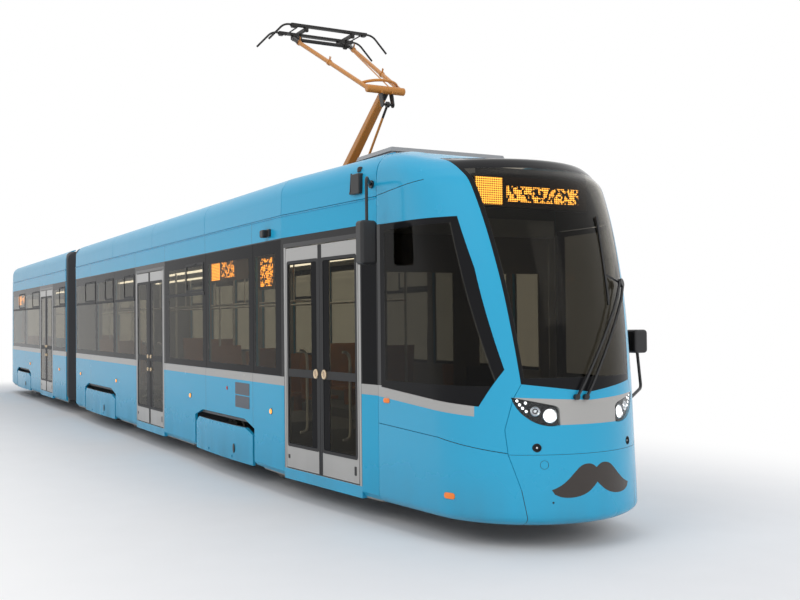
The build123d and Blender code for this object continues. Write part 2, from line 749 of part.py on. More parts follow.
def cowl_section(x):
    """A cowl of the right edge: a curved skin that stands on an inward flange."""
    w = side_y(x)

    def at(point, inwards=0, down=0):
        return (-(w - point[0] - inwards), point[1] - down)

    foot = (0, ROOF_EDGE_Z)
    with BuildSketch(Plane.YZ.offset(x)) as section:
        with BuildLine():
            Line(at(foot), at(COWL_WAIST))
            ThreePointArc(at(COWL_WAIST), at(COWL_KNEE), at(COWL_CREST))
            Line(at(COWL_CREST), at(COWL_CREST, 0, COWL_T))
            inner_knee = at(COWL_KNEE, KNEE_STEP, KNEE_STEP)
            ThreePointArc(at(COWL_CREST, 0, COWL_T), inner_knee, at(COWL_WAIST, COWL_T))
            Line(at(COWL_WAIST, COWL_T), at(foot, COWL_T, -COWL_T))
            Line(at(foot, COWL_T, -COWL_T), at(foot, COWL_FLANGE, -COWL_T))
            Line(at(foot, COWL_FLANGE, -COWL_T), at(foot, COWL_FLANGE))
            Line(at(foot, COWL_FLANGE), at(foot))
        make_face()
    return section.sketch


for name, joints in (("front_cowls", COWL_JOINTS_FRONT), ("rear_cowls", COWL_JOINTS_REAR)):
    with BuildPart() as cowls:
        for x1, x0 in zip(joints, joints[1:]):
            ruled(cowl_section, x0 + COWL_GAP / 2, x1 - COWL_GAP / 2)
        mirror(about=Plane.XZ)
    save(cowls.part, name)


def roof_boxes(boxes):
    """Equipment cases with a lipped lid and a row of sunk vents along each side."""
    with BuildPart() as group:
        for x, length, half, height in boxes:
            spot = (x + length / 2, 0)
            with BuildSketch(Plane.XY.offset(ROOF_Z)):
                with Locations(spot):
                    Rectangle(length - 2 * BOX_LIP, 2 * (half - BOX_LIP))
            extrude(amount=height - BOX_LID)
            with BuildSketch(Plane.XY.offset(ROOF_Z + height - BOX_LID)):
                with Locations(spot):
                    Rectangle(length, 2 * half)
            extrude(amount=BOX_LID, taper=BOX_TAPER)
            count = int((length - 2 * BOX_LIP) / VENT_PITCH)
            first = x + length / 2 - VENT_PITCH * (count - 1) / 2
            vent_top = ROOF_Z + height - BOX_LID - VENT_MARGIN
            vents = [
                (vent_x - VENT_W / 2, ROOF_Z + VENT_MARGIN, vent_x + VENT_W / 2, vent_top)
                for vent_x in [first + VENT_PITCH * i for i in range(count)]
            ]
            for side in (-1, 1):
                face_y = side * (half - BOX_LIP)
                sunk = rectangles(Plane.XZ.offset(-face_y), vents)
                extrude(sunk, amount=side * VENT_DEPTH, mode=Mode.SUBTRACT)
    return group.part


save(roof_boxes(FRONT_BOXES), "front_roof_boxes")
save(roof_boxes(REAR_BOXES), "rear_roof_boxes")


# Floors: a low pan that rises over each bogie, with boxes over the wheels
def floor_profile(x0, x1, bogies):
    """Side view of a floor pan with a raised stretch over each bogie."""
    top = [(x0, FLOOR_Z)]
    for centre, skirt in sorted(bogies):
        half = skirt / 2 + WELL_RUN
        top += [
            (centre - half - RAMP, FLOOR_Z), (centre - half, PODIUM_Z),
            (centre + half, PODIUM_Z), (centre + half + RAMP, FLOOR_Z),
        ]
    top.append((x1, FLOOR_Z))
    under = [(x0, FLOOR_Z - FLOOR_T)]
    for centre, skirt in sorted(bogies):
        half = skirt / 2 + WELL_RUN
        under += [
            (centre - half, FLOOR_Z - FLOOR_T), (centre - half, PODIUM_Z - FLOOR_T),
            (centre + half, PODIUM_Z - FLOOR_T), (centre + half, FLOOR_Z - FLOOR_T),
        ]
    under.append((x1, FLOOR_Z - FLOOR_T))
    return top + under[::-1]


def floor_solid(x0, x1, plan, bogies):
    """A floor pan with a pivot under each bogie and loose boxes over its wheels."""
    with BuildPart() as floor:
        extrude(outline(SIDE_VIEW, floor_profile(x0, x1, bogies)), amount=2 * HALF_WIDTH)
        for centre, skirt in bogies:
            half = skirt / 2 + WELL_RUN
            box_y = (WELL_Y + HALF_WIDTH) / 2
            mouth_y = (WELL_Y + WELL_T + HALF_WIDTH) / 2
            with BuildSketch(Plane.XY.offset(PODIUM_Z + ROOM)):
                with Locations((centre, -box_y), (centre, box_y)):
                    Rectangle(2 * half, HALF_WIDTH - WELL_Y)
            extrude(amount=WELL_TOP_Z - PODIUM_Z - ROOM)
            with BuildSketch(Plane.XY.offset(PODIUM_Z - FLOOR_T)):
                with Locations((centre, -mouth_y), (centre, mouth_y)):
                    Rectangle(2 * half - 2 * WELL_T, HALF_WIDTH - WELL_Y - WELL_T)
            extrude(amount=WELL_Z - PODIUM_Z + FLOOR_T, mode=Mode.SUBTRACT)
            with BuildSketch(Plane.XY.offset(PODIUM_Z - FLOOR_T)):
                with Locations((centre, 0)):
                    Circle(PIVOT_R)
            extrude(amount=PIVOT_FOOT_Z - PODIUM_Z + FLOOR_T)
        extrude(outline(Plane.XY, plan), amount=WELL_TOP_Z, mode=Mode.INTERSECT)
        with BuildSketch(Plane.XY):
            with Locations((PIVOT_X, 0)):
                Circle(TURNTABLE_R + TURNTABLE_GAP)
        extrude(amount=PODIUM_Z, mode=Mode.SUBTRACT)
    return floor.part


inside = WALL + SLACK
end_inset = RIM_INSET + CAB_WALL + SLACK
front_plan = [
    (FRONT_SHELL_X, HALF_WIDTH - inside), (TAPER_X, HALF_WIDTH - inside),
    (CAB_X, side_y(CAB_X) - inside), (CAB_X, side_y(CAB_X) - end_inset),
] + CAB_FLOOR_NOSE
front_plan += [(x, -y) for x, y in reversed(front_plan)]
rear_plan = [
    (REAR_SHELL_X, HALF_WIDTH - inside), (TAIL_SHELL_X, HALF_WIDTH - inside),
    (TAIL_SHELL_X, HALF_WIDTH - end_inset),
    (TAIL_FLOOR_X, side_y(TAIL_FLOOR_X) - end_inset - TAIL_CORNER_R / 3),
]
rear_plan += [(x, -y) for x, y in reversed(rear_plan)]
save(floor_solid(FRONT_SHELL_X, CAB_FLOOR_NOSE[-1][0], front_plan, front_arches), "front_floor")
save(floor_solid(TAIL_FLOOR_X, REAR_SHELL_X, rear_plan, rear_arches), "rear_floor")


# Ends of the two cars at the gangway: portal frames, bearing arms and the turntable
def portal(x0, x1):
    """The frame that closes one car at the gangway, cut out round the turntable."""
    with BuildPart() as frame:
        with BuildSketch(Plane.YZ.offset(x0)):
            with Locations((0, (BODY_Z + PORTAL_TOP_Z) / 2)):
                RectangleRounded(2 * HALF_WIDTH - 2 * PORTAL_INSET, PORTAL_TOP_Z - BODY_Z, PORTAL_R)
            with Locations((0, (FLOOR_Z + GANGWAY_H) / 2)):
                Rectangle(2 * GANGWAY_HALF, GANGWAY_H - FLOOR_Z, mode=Mode.SUBTRACT)
        extrude(amount=x1 - x0)
        with BuildSketch(Plane.XY.offset(FLOOR_Z - TURNTABLE_T - TURNTABLE_GAP)):
            with Locations((PIVOT_X, 0)):
                Circle(TURNTABLE_R + TURNTABLE_GAP)
        extrude(amount=TURNTABLE_T + 2 * TURNTABLE_GAP, mode=Mode.SUBTRACT)
    return frame.part


with BuildPart() as front_portal:
    add(portal(FRONT_END_X, FRONT_SHELL_X))
    hanger = [(-ARM_HALF, ARM_Z, ARM_HALF, FLOOR_Z - TURNTABLE_T - TURNTABLE_GAP)]
    extrude(rectangles(Plane.YZ.offset(FRONT_END_X), hanger), amount=PORTAL_T)
    with BuildSketch(Plane.XY.offset(ARM_Z)):
        with Locations(((PIVOT_X + FRONT_SHELL_X) / 2, 0)):
            Rectangle(FRONT_SHELL_X - PIVOT_X, 2 * ARM_HALF)
        with Locations((PIVOT_X, 0)):
            Circle(ARM_HALF)
            Circle(BEARING_R + JOURNAL_FIT, mode=Mode.SUBTRACT)
    extrude(amount=ARM_T)
    with BuildSketch(Plane.XY.offset(ARM_Z)):
        with Locations((PIVOT_X, 0)):
            Circle(BEARING_R + JOURNAL_FIT)
    extrude(amount=ARM_T, mode=Mode.SUBTRACT)
save(front_portal.part, "front_portal")

with BuildPart() as rear_portal:
    add(portal(REAR_SHELL_X, REAR_END_X))
    with BuildSketch(Plane.XY.offset(ARM_Z + ARM_T + ARM_ROOM)):
        with Locations(((PIVOT_X + REAR_SHELL_X) / 2, 0)):
            Rectangle(PIVOT_X - REAR_SHELL_X, 2 * ARM_HALF)
        with Locations((PIVOT_X, 0)):
            Circle(ARM_HALF)
    extrude(amount=ARM_T)
    with BuildSketch(Plane.XY.offset(ARM_Z)):
        with Locations((PIVOT_X, 0)):
            Circle(BEARING_R)
    extrude(amount=ARM_T + ARM_ROOM)
save(rear_portal.part, "rear_portal")

with BuildPart() as turntable:
    with BuildSketch(Plane.XY.offset(FLOOR_Z - TURNTABLE_T)):
        with Locations((PIVOT_X, 0)):
            Circle(TURNTABLE_R)
    extrude(amount=TURNTABLE_T)
    with BuildSketch(Plane.XY.offset(ARM_Z + 2 * ARM_T + ARM_ROOM)):
        with Locations((PIVOT_X, 0)):
            Circle(BEARING_R)
    extrude(amount=FLOOR_Z - TURNTABLE_T - ARM_Z - 2 * ARM_T - ARM_ROOM)
save(turntable.part, "turntable")

with BuildPart() as bellows:
    step = CAR_GAP / BELLOWS_FOLDS / 2
    foot_z, top_z = BELLOWS_Z
    half = HALF_WIDTH - BELLOWS_INSET
    for i in range(2 * BELLOWS_FOLDS):
        proud = BELLOWS_PROUD * (i % 2)
        with BuildSketch(Plane.YZ.offset(REAR_END_X + step * i)):
            with Locations((0, (foot_z + top_z) / 2)):
                RectangleRounded(2 * (half + proud), top_z - foot_z + 2 * proud, PORTAL_R)
                RectangleRounded(
                    2 * (half - BELLOWS_T), top_z - foot_z - 2 * BELLOWS_T, PORTAL_R, mode=Mode.SUBTRACT,
                )
        extrude(amount=step)
    open_foot = [(-BELLOWS_FOOT_Y, 0, BELLOWS_FOOT_Y, BELLOWS_FOOT_Z)]
    extrude(rectangles(Plane.YZ.offset(REAR_END_X), open_foot), amount=CAR_GAP, mode=Mode.SUBTRACT)
save(bellows.part, "bellows")


# Bogies: frame with axle boxes, wheelsets, motors and the skirts that they carry
def frame_solid(centre):
    """A bogie frame: beams with axle boxes, transoms, the pivot's ring and arms for the skirts."""
    half = WHEELBASE / 2
    with BuildPart() as frame:
        with BuildSketch(Plane.XY.offset(WHEEL_R - BEAM_H / 2)):
            for side in (-1, 1):
                with Locations((centre, side * BEAM_Y)):
                    Rectangle(WHEELBASE + AXLE_BOX, BEAM_W)
        extrude(amount=BEAM_H)
        with BuildSketch(Plane.XY.offset(WHEEL_R - TRANSOM_H / 2)):
            for shift in (-TRANSOM_X, TRANSOM_X):
                with Locations((centre + shift, 0)):
                    Rectangle(TRANSOM_W, 2 * BEAM_Y)
            with Locations((centre, 0)):
                Rectangle(2 * TRANSOM_X, 3 * PIVOT_R)
        extrude(amount=TRANSOM_H)
        with BuildSketch(Plane.XY.offset(WHEEL_R - TRANSOM_H / 2)):
            with Locations((centre, 0)):
                Circle(PIVOT_R + PIVOT_WALL)
        extrude(amount=PIVOT_TOP_Z - WHEEL_R + TRANSOM_H / 2)
        for end in (-half, half):
            for side in (-1, 1):
                with BuildSketch(Plane.XZ.offset(-side * BEAM_Y - BEAM_W / 2)):
                    with Locations((centre + end, WHEEL_R)):
                        RectangleRounded(AXLE_BOX, AXLE_BOX, AXLE_BOX_R)
                extrude(amount=BEAM_W)
        for side in (-1, 1):
            arm_from = side * (BEAM_Y + BEAM_W / 2)
            arm_to = side * (HALF_WIDTH - SKIRT_T)
            for shift in (-SKIRT_ARM_X, SKIRT_ARM_X):
                with BuildSketch(Plane.XY.offset(WHEEL_R)):
                    with Locations((centre + shift, (arm_from + arm_to) / 2)):
                        Rectangle(SKIRT_ARM_W, abs(arm_to - arm_from))
                extrude(amount=SKIRT_ARM_H)
        with BuildSketch(Plane.XY):
            with Locations((centre, 0)):
                Circle(PIVOT_R + ROOM)
        extrude(amount=CROWN_Z, mode=Mode.SUBTRACT)
        for end in (-half, half):
            with BuildSketch(Plane.XZ.offset(-JOURNAL_END_Y - ROOM)):
                with Locations((centre + end, WHEEL_R)):
                    Circle(JOURNAL_R + JOURNAL_FIT)
            extrude(amount=2 * (JOURNAL_END_Y + ROOM), mode=Mode.SUBTRACT)
    return frame.part


def skirt_solids(centre, skirt):
    """Both skirts of a bogie: a bulged plate with sloped top corners."""
    half = skirt / 2
    shoulder_z = SKIRT_TOP_Z - SKIRT_CUT_H
    points = [
        (centre - half, SKIRT_Z), (centre - half, shoulder_z), (centre - half + SKIRT_CUTS[0], SKIRT_TOP_Z),
        (centre + half - SKIRT_CUTS[1], SKIRT_TOP_Z), (centre + half, shoulder_z), (centre + half, SKIRT_Z),
    ]
    with BuildPart() as skirts:
        with BuildSketch(Plane.XY.offset(SKIRT_Z)):
            with BuildLine():
                y = -HALF_WIDTH
                Line((centre - half, y + SKIRT_T), (centre - half, y))
                ThreePointArc((centre - half, y), (centre, y - SKIRT_BULGE), (centre + half, y))
                Line((centre + half, y), (centre + half, y + SKIRT_T))
                Line((centre + half, y + SKIRT_T), (centre - half, y + SKIRT_T))
            make_face()
        extrude(amount=SKIRT_TOP_Z - SKIRT_Z)
        extrude(outline(SIDE_VIEW, points), amount=3 * HALF_WIDTH, mode=Mode.INTERSECT)
        mirror(about=Plane.XZ)
    return skirts.part


def wheelset_solid(x):
    """An axle with both wheels and its journals, turned in one profile."""
    back = GAUGE / 2 - FLANGE_W
    face = back + FLANGE_W + TREAD_W
    web = (back + face) / 2
    inner, outer = web - WEB_T / 2, web + WEB_T / 2
    bead_r = WHEEL_R - RIM_T
    tip_r = WHEEL_R + FLANGE_H
    half = [
        (0, 0), (0, AXLE_R), (back - HUB_BACK, AXLE_R), (back - HUB_BACK, HUB_R),
        (inner, HUB_R + HUB_FLARE), (inner, bead_r), (back, bead_r),
        (back, tip_r - FLANGE_ROUND), (back + FLANGE_ROUND, tip_r),
        (back + FLANGE_W - 8, tip_r - 4), (back + FLANGE_W + FLANGE_ROUND, WHEEL_R),
        (face - TREAD_ROUND, WHEEL_R - TREAD_CONE), (face, WHEEL_R - TREAD_CONE - TREAD_ROUND),
        (face, bead_r), (outer, bead_r), (outer, HUB_R + HUB_FLARE), (face - HUB_SINK, HUB_R),
        (face - HUB_SINK, JOURNAL_R), (JOURNAL_END_Y, JOURNAL_R), (JOURNAL_END_Y, 0),
    ]
    with BuildPart() as wheelset:
        with BuildSketch(Plane(origin=(x, 0, WHEEL_R), x_dir=(0, 1, 0), z_dir=(1, 0, 0))):
            with BuildLine():
                Polyline(*half, close=True)
            make_face()
            mirror(about=Plane.YZ)
        revolve(axis=Axis((x, 0, WHEEL_R), (0, 1, 0)))
    return wheelset.part


wheelset_number = 0
for name, centre, skirt, motors in BOGIES:
    save(frame_solid(centre), f"{name}_frame")
    save(skirt_solids(centre, skirt), f"{name}_skirts")
    if motors:
        motor_x = TRANSOM_X + TRANSOM_W / 2 + MOTOR_D / 2 + ROOM
        with BuildPart() as motor_pair:
            for side in (-1, 1):
                with BuildSketch(Plane.XZ.offset(-MOTOR_HALF)):
                    with Locations((centre + side * motor_x, WHEEL_R)):
                        RectangleRounded(MOTOR_D, MOTOR_D, MOTOR_R)
                extrude(amount=2 * MOTOR_HALF)
        save(motor_pair.part, f"{name}_motors")
    for end in (-1, 1):
        wheelset_number += 1
        save(wheelset_solid(centre - end * WHEELBASE / 2), f"wheelset_{wheelset_number}")


# Pantograph: base on insulators, lower arm, upper arm, head and tie rod
def rod(x0, z0, x1, z1, radius, y):
    """A straight round bar in the plane y, between two points in side view."""
    axis = Vector(x1 - x0, 0, z1 - z0)
    with BuildPart() as bar:
        with BuildSketch(Plane(origin=(x0, y, z0), z_dir=axis)):
            Circle(radius)
        extrude(amount=axis.length)
    return bar.part


def cross_bar(point, radius, y0, y1, mode=Mode.ADD):
    """A round bar across the tram, or its bore."""
    with BuildSketch(Plane.XZ.offset(-y1)) as disc:
        with Locations(point):
            Circle(radius)
    extrude(disc.sketch, amount=y1 - y0, mode=mode)


with BuildPart() as pantograph_base:
    rail_x0, rail_x1 = BASE_RAIL
    with BuildSketch(Plane.XY.offset(ROOF_Z + INSULATOR_H)):
        for side in (-1, 1):
            with Locations(((rail_x0 + rail_x1) / 2, side * BASE_Y)):
                Rectangle(rail_x1 - rail_x0, BASE_RAIL_W)
    extrude(amount=BASE_TOP_Z - ROOF_Z - INSULATOR_H)
    with BuildSketch(Plane.XY.offset(ROOF_Z + INSULATOR_H)):
        for x in (rail_x0 + BASE_RAIL_W / 2, BASE_PIVOT[0], TIE_FOOT[0], rail_x1 - BASE_RAIL_W / 2):
            with Locations((x, 0)):
                Rectangle(BASE_RAIL_W, 2 * BASE_Y)
    extrude(amount=CROSS_TOP_Z - ROOF_Z - INSULATOR_H)
    with BuildSketch(Plane.XY.offset(ROOF_Z)):
        for x in (rail_x0 + BASE_RAIL_W, rail_x1 - BASE_RAIL_W):
            for side in (-1, 1):
                with Locations((x, side * BASE_Y)):
                    Circle(INSULATOR_R)
    extrude(amount=INSULATOR_H)
    for i in range(SHED_COUNT):
        shed_z = ROOF_Z + INSULATOR_H * (i + 0.5) / SHED_COUNT
        with BuildSketch(Plane.XY.offset(shed_z - SHED_T / 2)):
            for x in (rail_x0 + BASE_RAIL_W, rail_x1 - BASE_RAIL_W):
                with Locations((x, -BASE_Y), (x, BASE_Y)):
                    Circle(SHED_R)
        extrude(amount=SHED_T)
    for side in (-1, 1):
        inner = LOWER_HALF + ROOM
        y0, y1 = sorted((side * inner, side * (inner + EAR_T)))
        ear = rectangles(Plane.XZ.offset(-y1), [
            (BASE_PIVOT[0] - EAR_R, CROSS_TOP_Z - OVERCUT, BASE_PIVOT[0] + EAR_R, BASE_PIVOT[1]),
        ])
        extrude(ear, amount=y1 - y0)
        cross_bar(BASE_PIVOT, EAR_R, y0, y1)
        y0, y1 = sorted((side * (TIE_EYE_T / 2 + ROOM), side * (TIE_EYE_T / 2 + ROOM + LEVER_T)))
        cross_bar(TIE_FOOT, TIE_EAR_R, y0, y1)
    cross_bar(BASE_PIVOT, PIN_R + PIN_FIT, -BASE_Y, BASE_Y, Mode.SUBTRACT)
    cross_bar(TIE_FOOT, TIE_EAR_R + EYE_ROOM, -TIE_EYE_T / 2 - ROOM, TIE_EYE_T / 2 + ROOM, Mode.SUBTRACT)
    cross_bar(TIE_FOOT, TIE_R, -TIE_EYE_T / 2 - LEVER_T, TIE_EYE_T / 2 + LEVER_T)
save(pantograph_base.part, "pantograph_base")

with BuildPart() as lower_arm:
    reach = Vector(KNEE[0] - BASE_PIVOT[0], 0, KNEE[1] - BASE_PIVOT[1])
    foot = Vector(BASE_PIVOT[0], 0, BASE_PIVOT[1])
    for start, (width, depth) in ((foot, LOWER_FOOT), (foot + reach, LOWER_TOP)):
        with BuildSketch(Plane(origin=start, x_dir=(0, 1, 0), z_dir=reach)):
            RectangleRounded(width, depth, LOWER_CORNER_R)
    loft()
    cross_bar(BASE_PIVOT, EAR_R - 1, -LOWER_HALF, LOWER_HALF)
    cross_bar(BASE_PIVOT, PIN_R, -LOWER_HALF - EAR_T, LOWER_HALF + EAR_T)
    cross_bar(KNEE, KNEE_R, -KNEE_HALF, KNEE_HALF)
    cross_bar(KNEE, KNEE_SHAFT_R + PIN_FIT, -KNEE_HALF, KNEE_HALF, Mode.SUBTRACT)
save(lower_arm.part, "lower_arm")


def knee_boss(side):
    """The hub of the upper arm on one side of the knee, with a rounded outer end."""
    y0, y1 = sorted((side * (KNEE_HALF + ROOM), side * KNEE_END))
    with BuildPart() as boss:
        cross_bar(KNEE, KNEE_R, y0, y1)
        fillet(boss.faces().sort_by(Axis((0, 0, 0), (0, side, 0)))[-1].edges(), KNEE_ROUND)
    return boss.part


# Upper arm: two tubes that spread from the knee to the head, a bowed yoke, levers and the levelling rod
climb = Vector(HEAD_PIVOT[0] - KNEE[0], 0, HEAD_PIVOT[1] - KNEE[1])
outward = Vector(climb.Z, 0, -climb.X).normalized()
knee_at = Vector(KNEE[0], 0, KNEE[1])
with BuildPart() as upper_arm:
    cross_bar(KNEE, KNEE_SHAFT_R, -KNEE_END + KNEE_ROUND, KNEE_END - KNEE_ROUND)
    add(knee_boss(-1))
    add(knee_boss(1))
    cross_bar(HEAD_PIVOT, HEAD_TUBE_R, -HEAD_HALF, HEAD_HALF)
    yoke_ends = []
    for side in (-1, 1):
        low = knee_at + Vector(0, side * UPPER_FOOT_Y, 0)
        top = knee_at + climb + Vector(0, side * (HEAD_HALF - UPPER_R), 0)
        tube = top - low
        with BuildSketch(Plane(origin=low, z_dir=tube)):
            Circle(UPPER_R)
        extrude(amount=tube.length)
        yoke_ends.append(low + tube.normalized() * YOKE_FOOT)
        lever = [
            (KNEE[0] - LEVER_TOP, KNEE[1]), (TIE_HEAD[0] - LEVER_HALF, TIE_HEAD[1]),
            (TIE_HEAD[0] + LEVER_HALF, TIE_HEAD[1]), (KNEE[0] + LEVER_TOP, KNEE[1]),
        ]
        y0, y1 = sorted((side * (KNEE_HALF + ROOM), side * (KNEE_HALF + ROOM + LEVER_T)))
        extrude(outline(Plane.XZ.offset(-y1), lever), amount=y1 - y0)
        cross_bar(TIE_HEAD, LEVER_HALF, y0, y1)
        y0, y1 = sorted((side * (TIE_EYE_T / 2 + LEVER_GAP), side * (KNEE_HALF + ROOM)))
        cross_bar(TIE_HEAD, TIE_R, y0, y1)
    crest = knee_at + climb.normalized() * YOKE_CREST[0] + outward * YOKE_CREST[1]
    with BuildLine() as yoke_line:
        ThreePointArc(yoke_ends[0], crest, yoke_ends[1])
    with BuildSketch(Plane(origin=yoke_ends[0], z_dir=yoke_line.line % 0)):
        Circle(YOKE_R)
    sweep(path=yoke_line.line)
    level_r, level_foot_y, level_head_y = LEVEL_ROD
    low = knee_at + Vector(0, level_foot_y, 0)
    level = knee_at + climb + Vector(0, level_head_y, 0) - low
    with BuildSketch(Plane(origin=low, z_dir=level)):
        Circle(level_r)
    extrude(amount=level.length)
save(upper_arm.part, "upper_arm")

with BuildPart() as tie_rod:
    add(rod(*TIE_FOOT, *TIE_HEAD, TIE_R, 0))
    for point in (TIE_FOOT, TIE_HEAD):
        cross_bar(point, TIE_EYE_R, -TIE_EYE_T / 2, TIE_EYE_T / 2)
        cross_bar(point, TIE_R + PIN_FIT, -TIE_EYE_T / 2, TIE_EYE_T / 2, Mode.SUBTRACT)
save(tie_rod.part, "tie_rod")

with BuildPart() as contact_head:
    head_x, head_z = HEAD_PIVOT
    strip_z = head_z + STRIP_Z
    for end in (-1, 1):
        with BuildSketch(Plane.XY.offset(strip_z)):
            with Locations((head_x + end * STRIP_PITCH / 2, 0)):
                Rectangle(STRIP_W, 2 * STRIP_HALF)
        extrude(amount=STRIP_H)
        for side in (-1, 1):
            route = [
                (head_x + end * STRIP_PITCH / 2, side * (STRIP_HALF - OVERCUT), strip_z + STRIP_H / 2),
                (head_x + end * STRIP_PITCH / 2, side * (STRIP_HALF + HORN_BEND[0]), strip_z + STRIP_H / 2),
                (head_x + end * STRIP_PITCH / 2, side * HORN_Y, strip_z - HORN_DROP),
            ]
            with BuildLine() as horn_line:
                FilletPolyline(*route, radius=HORN_BEND[1])
            with BuildSketch(Plane(origin=route[0], z_dir=(0, side, 0))):
                Circle(HORN_R)
            sweep(path=horn_line.line)
    reach = (STRIP_PITCH + STRIP_W) / 2
    for side in (-1, 1):
        y0, y1 = sorted((side * (CRADLE_Y - CRADLE_W / 2), side * (CRADLE_Y + CRADLE_W / 2)))
        bar = rectangles(Plane.XZ.offset(-y1), [
            (head_x - reach, strip_z - CRADLE_H, head_x + reach, strip_z),
            (head_x - CRADLE_POST / 2, head_z, head_x + CRADLE_POST / 2, strip_z),
        ])
        extrude(bar, amount=y1 - y0)
        cross_bar(HEAD_PIVOT, HEAD_HUB_R, y0, y1)
        cross_bar(HEAD_PIVOT, HEAD_TUBE_R + PIN_FIT, y0, y1, Mode.SUBTRACT)
save(contact_head.part, "contact_head")


# Mirrors on bent arms, and the wiper
def block(corners, radius):
    """An upright box with round corners in plan."""
    x0, y0, z0, x1, y1, z1 = corners
    with BuildPart() as housing:
        with BuildSketch(Plane.XY.offset(z0)):
            with Locations(((x0 + x1) / 2, (y0 + y1) / 2)):
                RectangleRounded(x1 - x0, y1 - y0, radius)
        extrude(amount=z1 - z0)
    return housing.part


def housing(corners):
    """A mirror housing with a crowned front and a sunk glass at the rear."""
    x0, y0, z0, x1, y1, z1 = corners
    with BuildPart() as shell:
        with BuildSketch(Plane.YZ.offset(x0)) as face:
            with Locations(((y0 + y1) / 2, (z0 + z1) / 2)):
                RectangleRounded(y1 - y0, z1 - z0, MIRROR_CORNER_R)
        extrude(amount=x1 - x0)
        fillet(shell.faces().sort_by(Axis.X)[-1].edges(), MIRROR_CROWN_R)
        glass = offset(face.sketch, amount=-MIRROR_RIM, mode=Mode.PRIVATE)
        extrude(glass, amount=MIRROR_RIM / 2, mode=Mode.SUBTRACT)
    return shell.part


def nose_arc(z):
    """Centre and radius of the round nose at one height."""
    i = max(k for k in range(len(CAB_LEVELS) - 1) if CAB_LEVELS[k][0] <= z)
    low, high = CAB_LEVELS[i], CAB_LEVELS[i + 1]
    front_x = low[1] + (high[1] - low[1]) * (z - low[0]) / (high[0] - low[0])
    slope = atan(TAPER)
    nose_r = cos(slope) * side_y(front_x) / (1 - TAPER * cos(slope))
    return front_x - nose_r, nose_r


def on_nose(y, z):
    """A point on the round nose and the outward direction there."""
    centre_x, nose_r = nose_arc(z)
    next_x, next_r = nose_arc(z + 1)
    across = y / nose_r
    along = (1 - across ** 2) ** 0.5
    rise = -along * (next_x - centre_x) - (next_r - nose_r)
    return Vector(centre_x + along * nose_r, y, z), Vector(along, across, rise).normalized()


def mirror_solid(corners, foot, normal, route):
    """A mirror housing on a bent arm with a round foot that sits on the skin."""
    start = foot + normal * (ROOM + MIRROR_FOOT_T)
    with BuildPart() as unit:
        add(housing(corners))
        with BuildSketch(Plane(origin=foot + normal * ROOM, z_dir=normal)):
            Circle(MIRROR_FOOT_R)
        extrude(amount=MIRROR_FOOT_T)
        with BuildLine() as arm_line:
            FilletPolyline(tuple(start), *route, radius=MIRROR_BEND_R)
        with BuildSketch(Plane(origin=start, z_dir=Vector(*route[0]) - start)):
            Circle(MIRROR_ARM_R)
        sweep(path=arm_line.line)
    return unit.part


foot_x, foot_z = RIGHT_MIRROR_FOOT
lean = COWL_WAIST[0] / (COWL_WAIST[1] - ROOF_EDGE_Z)
foot_along = (foot_x - TAPER_X) / cos(radians(TAPER_ANGLE))
right_foot = RIGHT_TAPER.from_local_coords(Vector(foot_along, foot_z, -lean * (foot_z - ROOF_EDGE_Z)))
right_normal = (RIGHT_TAPER.z_dir + Vector(0, 0, lean)).normalized()
with BuildPart() as mirrors:
    add(mirror_solid(RIGHT_MIRROR, right_foot, right_normal, RIGHT_MIRROR_ARM))
    add(mirror_solid(LEFT_MIRROR, *on_nose(*LEFT_MIRROR_FOOT), LEFT_MIRROR_ARM))
save(mirrors.part, "mirrors")

with BuildPart() as wipers:
    for start, end in WIPER_BARS:
        stops = []
        for i in range(WIPER_STEPS + 1):
            y, z, off = [a + (b - a) * i / WIPER_STEPS for a, b in zip(start, end)]
            skin, normal = on_nose(y, z)
            stops.append(skin + normal * off)
        for low, high in zip(stops, stops[1:]):
            with BuildSketch(Plane(origin=low, x_dir=(0, 1, 0), z_dir=high - low)):
                Rectangle(WIPER_W, WIPER_W)
            extrude(amount=(high - low).length)
    for y, z, radius, low, high in WIPER_DISCS:
        skin, normal = on_nose(y, z)
        with BuildSketch(Plane(origin=skin + normal * low, z_dir=normal)):
            Circle(radius)
        extrude(amount=high - low)
save(wipers.part, "wipers")


# Inside: seats, poles, cab partition, driver's seat, desk and displays
def seat_solid(x, y, base_z, facing, pan_z):
    """A bent seat shell on a leg; facing is +1 when the sitter looks forward."""
    profile = [
        (0, pan_z - SEAT_T), (facing * SEAT_D, pan_z - SEAT_T), (facing * SEAT_D, pan_z),
        (facing * SEAT_T, pan_z), (-facing * SEAT_LEAN, pan_z + SEAT_BACK),
        (-facing * (SEAT_LEAN + SEAT_T), pan_z + SEAT_BACK),
    ]
    points = [(x + px, pz) for px, pz in profile]
    with BuildPart() as seat:
        with BuildSketch(Plane.XZ.offset(-y - SEAT_W / 2)) as shell:
            add(outline(Plane.XY, points))
            bend = shell.vertices().sort_by_distance((*points[3], 0))[0]
            lip = shell.vertices().sort_by_distance((*points[2], 0))[0]
            fillet([bend, lip], SEAT_T / 2)
        extrude(amount=SEAT_W)
        with BuildSketch(Plane.XY.offset(base_z)):
            with Locations((x + facing * SEAT_D / 2, y)):
                Rectangle(SEAT_LEG, SEAT_LEG)
        extrude(amount=pan_z - SEAT_T - base_z)
    return seat.part


def seat_group(rows):
    """The seats of one car; those over a wheel box stand higher."""
    with BuildPart() as group:
        for x, y, base_z, facing in rows:
            pan_z = LOW_PAN_Z if base_z == FLOOR_Z else HIGH_PAN_Z
            add(seat_solid(x, y, base_z, facing, pan_z))
    return group.part


